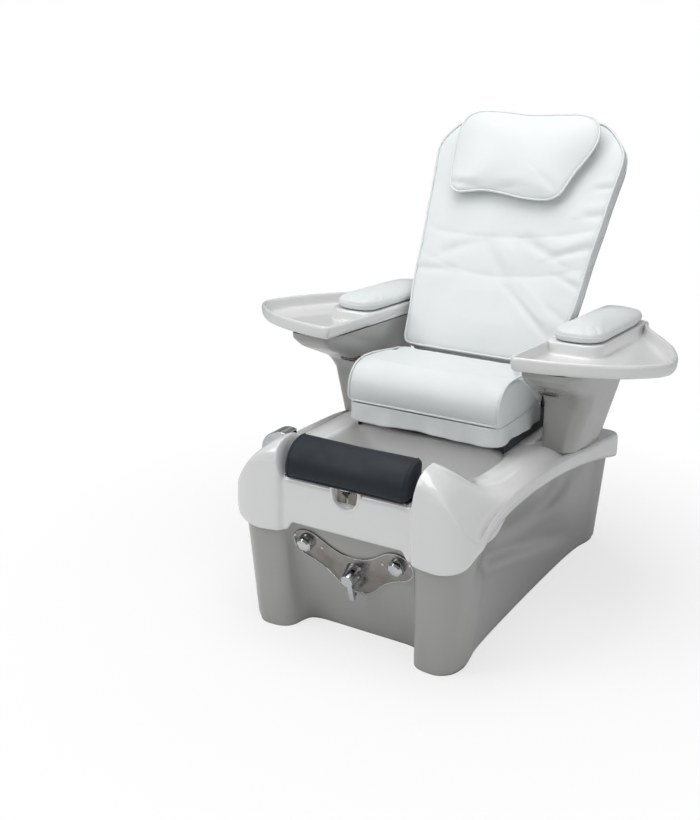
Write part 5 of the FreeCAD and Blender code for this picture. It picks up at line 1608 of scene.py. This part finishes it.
@dataclass
class Seat:
    """White seat cushion with a bull-nosed front, its welts and the cover's hanging skirt."""

    half_width: float = 0.262
    front: float = -0.1185
    rear: float = 0.2255
    low: float = 0.5560
    high: float = 0.7000

    def profile(self) -> Curve:
        """Side view of the cushion.

        Returns:
            Depth and height round the section.
        """
        return Curve(mm([(225.5, 575), (225.5, 640), (222, 660), (205, 668), (150, 677), (86, 687),
                         (20, 696), (-30, 697), (-68, 689), (-96, 670), (-113, 642), (-117.5, 612),
                         (-115, 590), (-108, 574), (-94, 563), (-70, 558), (0, 557), (100, 557), (200, 557),
                         (219, 561)]))

    def build(self) -> None:
        """Makes the cushion, its welts and the skirt."""
        reach = self.half_width - 0.0005
        pad = Pad("seat_pad", self.profile(), lambda share: -self.half_width + 0.010 * share ** 2,
                  lambda share: self.half_width - 0.010 * share ** 2, SIDE_VIEW,
                  (self.front, self.low, -reach), (self.rear, self.high, reach), rounding=0.010,
                  voxel=0.007, cap=0.012)
        edge = self.half_width - 0.0125
        rounds = [pad.outline.at(0.965 - 0.60 * k / 90) for k in range(91)]
        welts = [[Vector((*point, sign * edge)) for point in rounds] for sign in (-1, 1)]
        hem = [Vector((-0.1115, 0.5790, -edge + 2 * edge * k / 60)) for k in range(61)]
        pad.build(Finish.white_leather, "seat", ("seat_cushion",), 0.9, welts + [hem])
        piping("seat_welt", self.welt_path(pad, edge), SIDE_VIEW, 0.0032, "seat", facing=(1, 0.2, 0),
               closed=False, along=420)
        self.skirt()

    def welt_path(self, pad: Pad, edge: float) -> list[Vector]:
        """The welt: up one side's profile reversed, along the front hem and up the other side.

        Args:
            pad: The cushion.
            edge: The welt's distance from the middle.

        Returns:
            The line in the side view.
        """
        first, last = (pad.outline.share_near(end) for end in ((0.2255, 0.650), (-0.1115, 0.5800)))
        steps = 70
        side = [pad.outline.at(first + (last - first) * k / steps) for k in range(steps + 1)]
        hem = [Vector((*side[-1], -edge + 0.010 + (2 * edge - 0.020) * k / 50)) for k in range(51)]
        return ([Vector((*point, -edge)) for point in side[:-2]] + hem
                + [Vector((*point, edge)) for point in reversed(side[:-2])])

    def skirt(self) -> None:
        """The loose flap of cover that hangs under the cushion's front and sides."""
        half = [(254.5, 190), (254.5, 100), (255, 0), (254.5, -70), (250, -96), (235, -108.5), (120, -110)]
        path = Curve(mm([(-x, y) for x, y in half] + [(0, -110.5)] + half[::-1]), closed=False)
        top, drop = 0.5735, 0.0560

        def place(u: float, v: float) -> Vector:
            """A point of the flap, waved towards its hem.

            Args:
                u: Share of the way round the cushion.
                v: Share of the way down.

            Returns:
                The point.
            """
            away = path.inward(min(0.997, max(0.003, u)))
            wave = 0.0030 * math.sin(u * 37.0) + 0.0018 * math.sin(u * 83.0 + 1.3)
            hang = v ** 1.6
            spot = path.at(u) - away * (0.0035 * hang + wave * hang)
            low = drop + 0.003 * math.sin(u * 21.0 + 0.6)
            return Vector((*spot, top - low * v))

        bm = bmesh.new()
        lay(bm, 300, 12, place)
        bmesh.ops.recalc_face_normals(bm, faces=bm.faces)
        area = sum(face.calc_area() for face in bm.faces)
        flap = settle("seat_cover_skirt", bm, Finish.white_leather, "seat", replaces=("seat_skirt",),
                      sharp=80.0)
        thicken(flap, 0.0014)


@dataclass
class Back:
    """Reclined back: padded front, welts, sewn channels and the moulded cover behind."""

    def outline(self) -> Curve:
        """The cushion's outline on the back's slope.

        Returns:
            The outline.
        """
        return mirrored([(0, -34.5), (120, -34.5), (225, -33.5), (254, -29), (265.5, -13), (270, 15),
                         (273.5, 60), (278, 105), (286.5, 160), (291.5, 220), (294, 270), (297.5, 330),
                         (302, 380), (308, 440), (312, 500), (320, 580), (325.5, 630), (325.8, 656),
                         (319, 685), (302, 712), (278, 740), (255, 760), (225, 775), (180, 782),
                         (90, 784.5), (0, 784.8)])

    def seam(self, rows: Pairs) -> list[Vector]:
        """A sewn line across the cover."""
        curve = Curve(mm(rows), closed=False)
        return [Vector((*curve.at(k / 160), -0.0085)) for k in range(161)]

    def build(self) -> None:
        """Makes the cushion, its welts and the cover behind."""
        pad = Pad("back_pad", self.outline(), lambda share: -0.0075 + 0.0055 * share ** 3,
                  lambda share: 0.0445, ON_BACK, (-0.3265, -0.0348, -0.0119), (0.3265, 0.7848, 0.0446),
                  rounding=0.012, voxel=0.008, cap=0.016, drawn_in=0.003)
        upper = [(-300, 385), (-245, 366), (-197, 360), (-87, 357), (36, 363), (184, 385), (300, 420)]
        lower = [(-292, 290), (-220, 262), (-145, 241), (-69, 229), (53, 232), (185, 253), (296, 290)]
        seams = [pad.along(0.0045, 0.0030), pad.along(0.002, 0.0405), self.seam(upper), self.seam(lower)]
        folds = creases([(80, 356, 180, 312, 16, 5), (180, 312, 300, 362, 13, 5), (60, 190, 225, 50, 13, 5.5),
                         (215, 250, 318, 205, 10, 3.5), (-290, 228, -160, 232, 12, 3.5),
                         (-200, 290, -100, 334, 16, 4), (260, 548, 330, 565, 10, 3),
                         (250, 455, 320, 472, 12, 3.5), (-50, 330, 40, 215, 20, 3.5),
                         (285, 100, 200, 150, 12, 3)])
        pad.build(Finish.white_leather, "back", ("back_cushion",), 0.7, seams, folds, -1)
        for end, line, radius in (("front", pad.along(0.0025, 0.0012), 0.0036),
                                  ("rear", pad.along(0.0020, 0.0410), 0.0028)):
            piping(f"back_{end}_welt", line, ON_BACK, radius, "back", along=420)
        self.cover()
        self.tail()

    def tail(self) -> None:
        """The closing panel below the cushion, which hides the frame behind the seat."""
        loop = cornered([(-236, -102, 20), (236, -102, 20), (236, -24, 4), (-236, -24, 4)])
        panel = plate(level(loop, 0.0330), (0, 0, 0.0030), 80, 0.0010, (0.0, -1.0, 0.5), ON_BACK)
        settle("back_closing_panel", panel, Finish.back_plastic, "back", sharp=50.0)

    def cover(self) -> None:
        """The moulded cover behind the cushion."""
        outline, middle = self.outline(), Vector((0.0, 0.375))
        rows = mm([(7, 45.2), (6.8, 56), (9, 72), (15, 90), (26, 106), (43, 117.5), (66, 123.5), (95, 124.8)])
        depth = rows[-1][1]

        def column(u: float) -> list[Vector]:
            """The section from the rim to the cover's middle.

            Args:
                u: Share of the way round, 0 to 1.

            Returns:
                Its points.
            """
            rim = outline.at(u)
            line = []
            for inset, back in rows:
                spot = rim + outline.inward(u) * inset if inset <= 0.015 else rim.lerp(middle, inset / 0.30)
                line.append(Vector((*spot, back)))
            return line + [Vector((*rim.lerp(middle, share), depth)) for share in (0.66, 1.0)]

        bm = loft(evenly(220), column, (0.0, 1.0, -0.5), ON_BACK)
        cover = settle("back_cover_moulding", bm, Finish.back_plastic, "back", replaces=("back_shell",),
                       sharp=50.0)
        thicken(cover, 0.003)


@dataclass
class Pillow:
    """Shaped head pillow with a welt round its middle."""

    def build(self) -> None:
        """Makes the pillow."""
        outline = Curve(mm([
            (-144, 779.5), (-70, 776), (0, 771.5), (95, 777), (172, 780), (212, 770), (238, 744),
            (245.5, 705), (236, 662), (216, 621), (195, 583), (178, 538), (162, 508), (137, 490),
            (95, 483.5), (26, 487), (-40, 496.5), (-102, 501), (-150, 493.5), (-190, 489), (-219, 504),
            (-232, 545), (-238, 600), (-242, 665), (-240, 715), (-224, 754), (-190, 774),
        ][::-1]))
        pad = Pad("head_pillow_pad", outline, lambda share: -0.0700 + 0.0180 * share ** 3,
                  lambda share: -0.0124, ON_BACK, (-0.2460, 0.4832, -0.0798), (0.2462, 0.7822, -0.0124),
                  rounding=0.016, voxel=0.006, cap=0.012)
        welt = pad.along(0.0020, -0.0440)
        folds = creases([(-235, 520, -130, 512, 10, 3), (-60, 505, 20, 520, 12, 2.5),
                         (150, 520, 90, 560, 14, 2.5)])
        pad.build(Finish.white_leather, "head_pillow", ("head_pillow",), 0.75, [welt], folds, -1)
        piping("head_pillow_welt", pad.along(0.0015, -0.0440), ON_BACK, 0.0034, "head_pillow", along=320)


@dataclass
class ArmPads:
    """White armrest pads: a sewn band below and a crowned top."""

    def build(self) -> None:
        """Makes both pads."""
        outline = cornered([(303.5, -327.5, 55), (453.5, -327.5, 76), (453.5, 20, 80), (441.5, 145.5, 52),
                            (310.5, 145.5, 26), (303.5, 0, 60)])
        for side, sign in SIDES:
            frame_of = Matrix.Scale(sign, 4, (1, 0, 0)) @ ARM_FRAME
            pad = Pad(f"{side}_armrest_pad", outline, lambda share: 0.0568,
                      lambda share: 0.1060 - 0.0130 * share ** 2, frame_of, (0.3032, -0.3278, 0.0566),
                      (0.4538, 0.1458, 0.1098), rounding=0.014, voxel=0.005, cap=0.006, pressure=3.0,
                      drawn_in=0.0)
            band = [pad.along(0.0006, 0.0745), pad.along(0.0, 0.0600)]
            pad.build(Finish.white_leather, f"{side}_arm", (f"{side}_arm_pad",), 0.85, band)
            piping(f"{side}_armrest_welt", pad.along(0.0004, 0.0745), frame_of, 0.0016, f"{side}_arm")


# Fittings

@dataclass
class Controls:
    """Bright butterfly plate behind the taps and diverter."""

    foot: float = 0.430
    reach: float = 0.112
    height: float = 0.430
    middle: float = 0.236
    stand_off: float = 0.0004
    thickness: float = 0.0032

    def on_panel(self, x: float, z: float, out: float) -> Vector:
        """A point on the sloping front panel, raised off it.

        Args:
            x: Place across.
            z: Height.
            out: How far it is raised.

        Returns:
            The point.
        """
        y = -(self.foot + self.reach * z / self.height)
        lean = math.atan2(self.reach, self.height)
        return Vector((x, y, z)) + Vector((0.0, -math.cos(lean), -math.sin(lean))) * out

    def outline(self) -> Curve:
        """The plate's outline across the panel.

        Returns:
            Place across and height.
        """
        return mirrored([(0, 148.5), (28, 152), (52, 164), (74, 184), (100, 208), (132, 226), (162, 237),
                         (184, 251), (195.5, 273), (192.5, 298), (176, 316), (150, 325.5), (122, 321),
                         (94, 304), (64, 285), (32, 273), (0, 270)])

    def build(self) -> None:
        """Makes the plate, its face darker brown chrome as painted reflection, and its polished border."""
        outline, start = self.outline(), self.stand_off
        lift = self.on_panel(0, 0.2, start + self.thickness) - self.on_panel(0, 0.2, start)
        pressing = plate(lambda u: self.on_panel(*outline.at(u), start), lift, 160, 0.0012, (0, -1, 0))
        # The face takes the darker brown chrome in place of its chrome slot: painted reflection.
        settle("control_plate_face_painted_reflection", pressing, Finish.dull_chrome, "base", slot="chrome_fitting",
               replaces=("control_plate",), sharp=50.0)

        def rim(u: float) -> Vector:
            """A point of the border's middle.

            Args:
                u: Share of the way round, 0 to 1.

            Returns:
                The point.
            """
            x, z = outline.at(u)
            return self.on_panel(x * 0.985, self.middle + (z - self.middle) * 0.975, 0.0036)

        border = cord(rim, 0.0016, 240, Vector((0, -1, -0.26)))
        settle("control_plate_border", border, Finish.chrome_fitting, "base")


@dataclass
class Spout:
    """Chrome waterfall hood on the right-hand rim: a quarter round open to the basin."""

    radius: float = 0.064
    centre: tuple[float, float] = (-0.320, 0.481)
    mouth: float = -0.300
    front: float = -0.390
    rear: float = -0.330
    sheet: float = 0.0024

    def profile(self, grow: float) -> list[tuple[float, float]]:
        """The hood's section from the rim up and over to its lip, grown by an amount.

        Args:
            grow: How far the round is grown.

        Returns:
            Place across and height.
        """
        radius = self.radius + grow
        last = math.acos((self.mouth - self.centre[0]) / radius)
        arc = [(self.centre[0] + radius * math.cos(angle), self.centre[1] + radius * math.sin(angle))
               for angle in (math.pi + (last - math.pi) * k / 24 for k in range(25))]
        low = Tub().top(self.centre[0] - radius, (self.front + self.rear) / 2) - 0.012
        return [(arc[0][0], low), (arc[0][0], (low + arc[0][1]) / 2)] + arc

    def build(self) -> None:
        """Makes the hood, its rolled lip and its cheeks."""
        hood = Curve(self.profile(0.0), closed=False)
        depth, tub = self.rear - self.front, Tub()
        bm = skin(72, 12, lambda u, v: upright(hood, self.front + depth * v)(u), (0, 0, 1))
        shell = settle("waterfall_hood", bm, Finish.chrome_fitting, "base", replaces=("waterfall_spout",),
                       sharp=60.0)
        thicken(shell, self.sheet)
        lip = hood.at(1.0)
        line = Vector((lip.x, self.front, lip.y - 0.0012))
        roll = cord(lambda u: line + Vector((0, depth * u, 0)), 0.0022, 24, Vector((0, 0, 1)))
        settle("waterfall_lip", roll, Finish.chrome_fitting, "base")
        for side, y in (("front", self.front + 0.0002), ("rear", self.rear - self.sheet - 0.0002)):
            foot = [(x, tub.top(x, y) - 0.010) for x in (-0.302, -0.325, -0.350, -0.372)]
            loop = Curve(self.profile(-0.0008) + foot)
            cheek = plate(upright(loop, y), (0, self.sheet, 0), 110, 0.0005, (0, -1, 0), segments=1)
            settle(f"waterfall_{side}_cheek", cheek, Finish.chrome_fitting, "base", sharp=40.0)


OWN_FINISH = {"footrest_bracket": Finish.dull_steel, "footrest_clamp_knob": Finish.black_plastic}


def dress_frame() -> None:
    """Gives every carried CAD node its finish, by the record's material slots."""
    by_slot = {finish.name: finish for finish in Finish}
    for part in frame["record"]["subparts"]:
        node = frame["nodes"][part["node"]]
        finish = OWN_FINISH.get(part["node"], by_slot[part["material_slot"]])
        for slot in node.material_slots:
            slot.material = material_of(finish)


# Studio

@dataclass(frozen=True)
class Lamp:
    """A soft rectangular light aimed at the chair."""

    name: str
    at: Triple
    target: Triple
    size: tuple[float, float]
    power: float

    def place(self) -> None:
        """Hangs the lamp."""
        data = bpy.data.lights.new(self.name, "AREA")
        data.shape = "RECTANGLE"
        data.size, data.size_y = self.size
        data.energy = self.power
        lamp = bpy.data.objects.new(self.name, data)
        lamp.location = self.at
        way = Vector(self.target) - Vector(self.at)
        lamp.rotation_euler = way.to_track_quat("-Z", "Y").to_euler()
        bpy.context.scene.collection.objects.link(lamp)


WHITE = (1.0, 1.0, 1.0, 1.0)
SKY, SKY_STRENGTH = (0.86, 0.88, 0.90, 1.0), 0.30
FLOOR_REACH = 24.0
LAMPS = (Lamp("key", (-2.2, -2.8, 3.2), (0.0, 0.0, 0.5), (2.0, 2.0), 46.0),
         Lamp("top", (-0.2, -0.3, 4.2), (0.0, 0.0, 0.5), (3.2, 3.2), 97.0),
         Lamp("fill", (3.4, -1.6, 2.0), (0.0, 0.0, 0.6), (2.4, 2.4), 20.0))
# The photo's camera, as solved: place in metres, dip and turn in degrees, lens in millimetres.
CAMERA_AT = (1.5042, -2.979, 1.7124)
CAMERA_DIP, CAMERA_TURN, CAMERA_LENS = 19.16, 31.42, 50.54


def floor_paint() -> Material:
    """White paper that brightens into the backdrop away from the chair, to the eye alone.

    Returns:
        The material.
    """
    bench = Bench("studio_floor")
    away = add_node(bench.tree, "VectorMath")
    away.operation = "LENGTH"
    bench.link(bench.coords, away.inputs[0])
    glow = bench.spread(away.outputs["Value"], 0.70, 1.0, 0.6, 1.5)
    colour = bench.tint(bench.noise(1.5, 3.0), (0.93, 0.93, 0.93), (0.95, 0.95, 0.95))
    bench.dress(colour, bench.spread(bench.noise(20.0), 0.85, 0.95))
    white = add_node(bench.tree, "Emission", Color=WHITE, Strength=1.0)
    seen = add_node(bench.tree, "Math")
    seen.operation = "MULTIPLY"
    bench.link(glow, seen.inputs[0])
    bench.link(add_node(bench.tree, "LightPath").outputs["Is Camera Ray"], seen.inputs[1])
    blend = add_node(bench.tree, "MixShader")
    bench.link(seen.outputs["Value"], blend.inputs["Fac"])
    bench.link(bench.shader.outputs["BSDF"], blend.inputs[1])
    bench.link(white.outputs["Emission"], blend.inputs[2])
    bench.link(blend.outputs["Shader"], bench.tree.nodes["Material Output"].inputs["Surface"])
    return bench.material


def surround(world: bpy.types.World) -> None:
    """A soft, slightly cool light all round, which the camera sees as plain white.

    Args:
        world: The world that gains it.
    """
    world.use_nodes = True
    tree = world.node_tree
    light = tree.nodes["Background"]
    light.inputs["Color"].default_value = SKY
    light.inputs["Strength"].default_value = SKY_STRENGTH
    backdrop = add_node(tree, "Background", Color=WHITE, Strength=1.0)
    choice = add_node(tree, "MixShader")
    for source, target in ((add_node(tree, "LightPath").outputs["Is Camera Ray"], choice.inputs["Fac"]),
                           (light.outputs["Background"], choice.inputs[1]),
                           (backdrop.outputs["Background"], choice.inputs[2]),
                           (choice.outputs["Shader"], tree.nodes["World Output"].inputs["Surface"])):
        tree.links.new(source, target)


def studio() -> None:
    """Pale floor, even surroundings, three soft lamps and the camera."""
    scene = bpy.context.scene
    scene.view_settings.view_transform = "Standard"
    scene.world = bpy.data.worlds.new("surroundings")
    surround(scene.world)

    bm = bmesh.new()
    bmesh.ops.create_grid(bm, x_segments=8, y_segments=8, size=FLOOR_REACH)
    floor = placed("studio_floor", bm)
    floor.data.materials.append(floor_paint())

    for lamp in LAMPS:
        lamp.place()

    data = bpy.data.cameras.new("camera")
    data.sensor_width = 36.0
    data.lens = CAMERA_LENS
    camera = bpy.data.objects.new("camera", data)
    camera.location = CAMERA_AT
    camera.rotation_euler = (math.radians(90 - CAMERA_DIP), 0.0, math.radians(CAMERA_TURN))
    scene.collection.objects.link(camera)
    scene.camera = camera


def main() -> None:
    """Builds the chair's sub-assemblies in order, then the studio."""
    logging.basicConfig(level=logging.INFO, format="%(message)s")
    dress_frame()
    for assembly in (LowerShell(), Tub(), Columns(), Trays(), Controls(), Spout(), Footrest(), Seat(), Back(),
                     Pillow(), ArmPads()):
        LOG.info("building %s", type(assembly).__name__)
        assembly.build()
    studio()


if __name__ == "__main__":
    main()
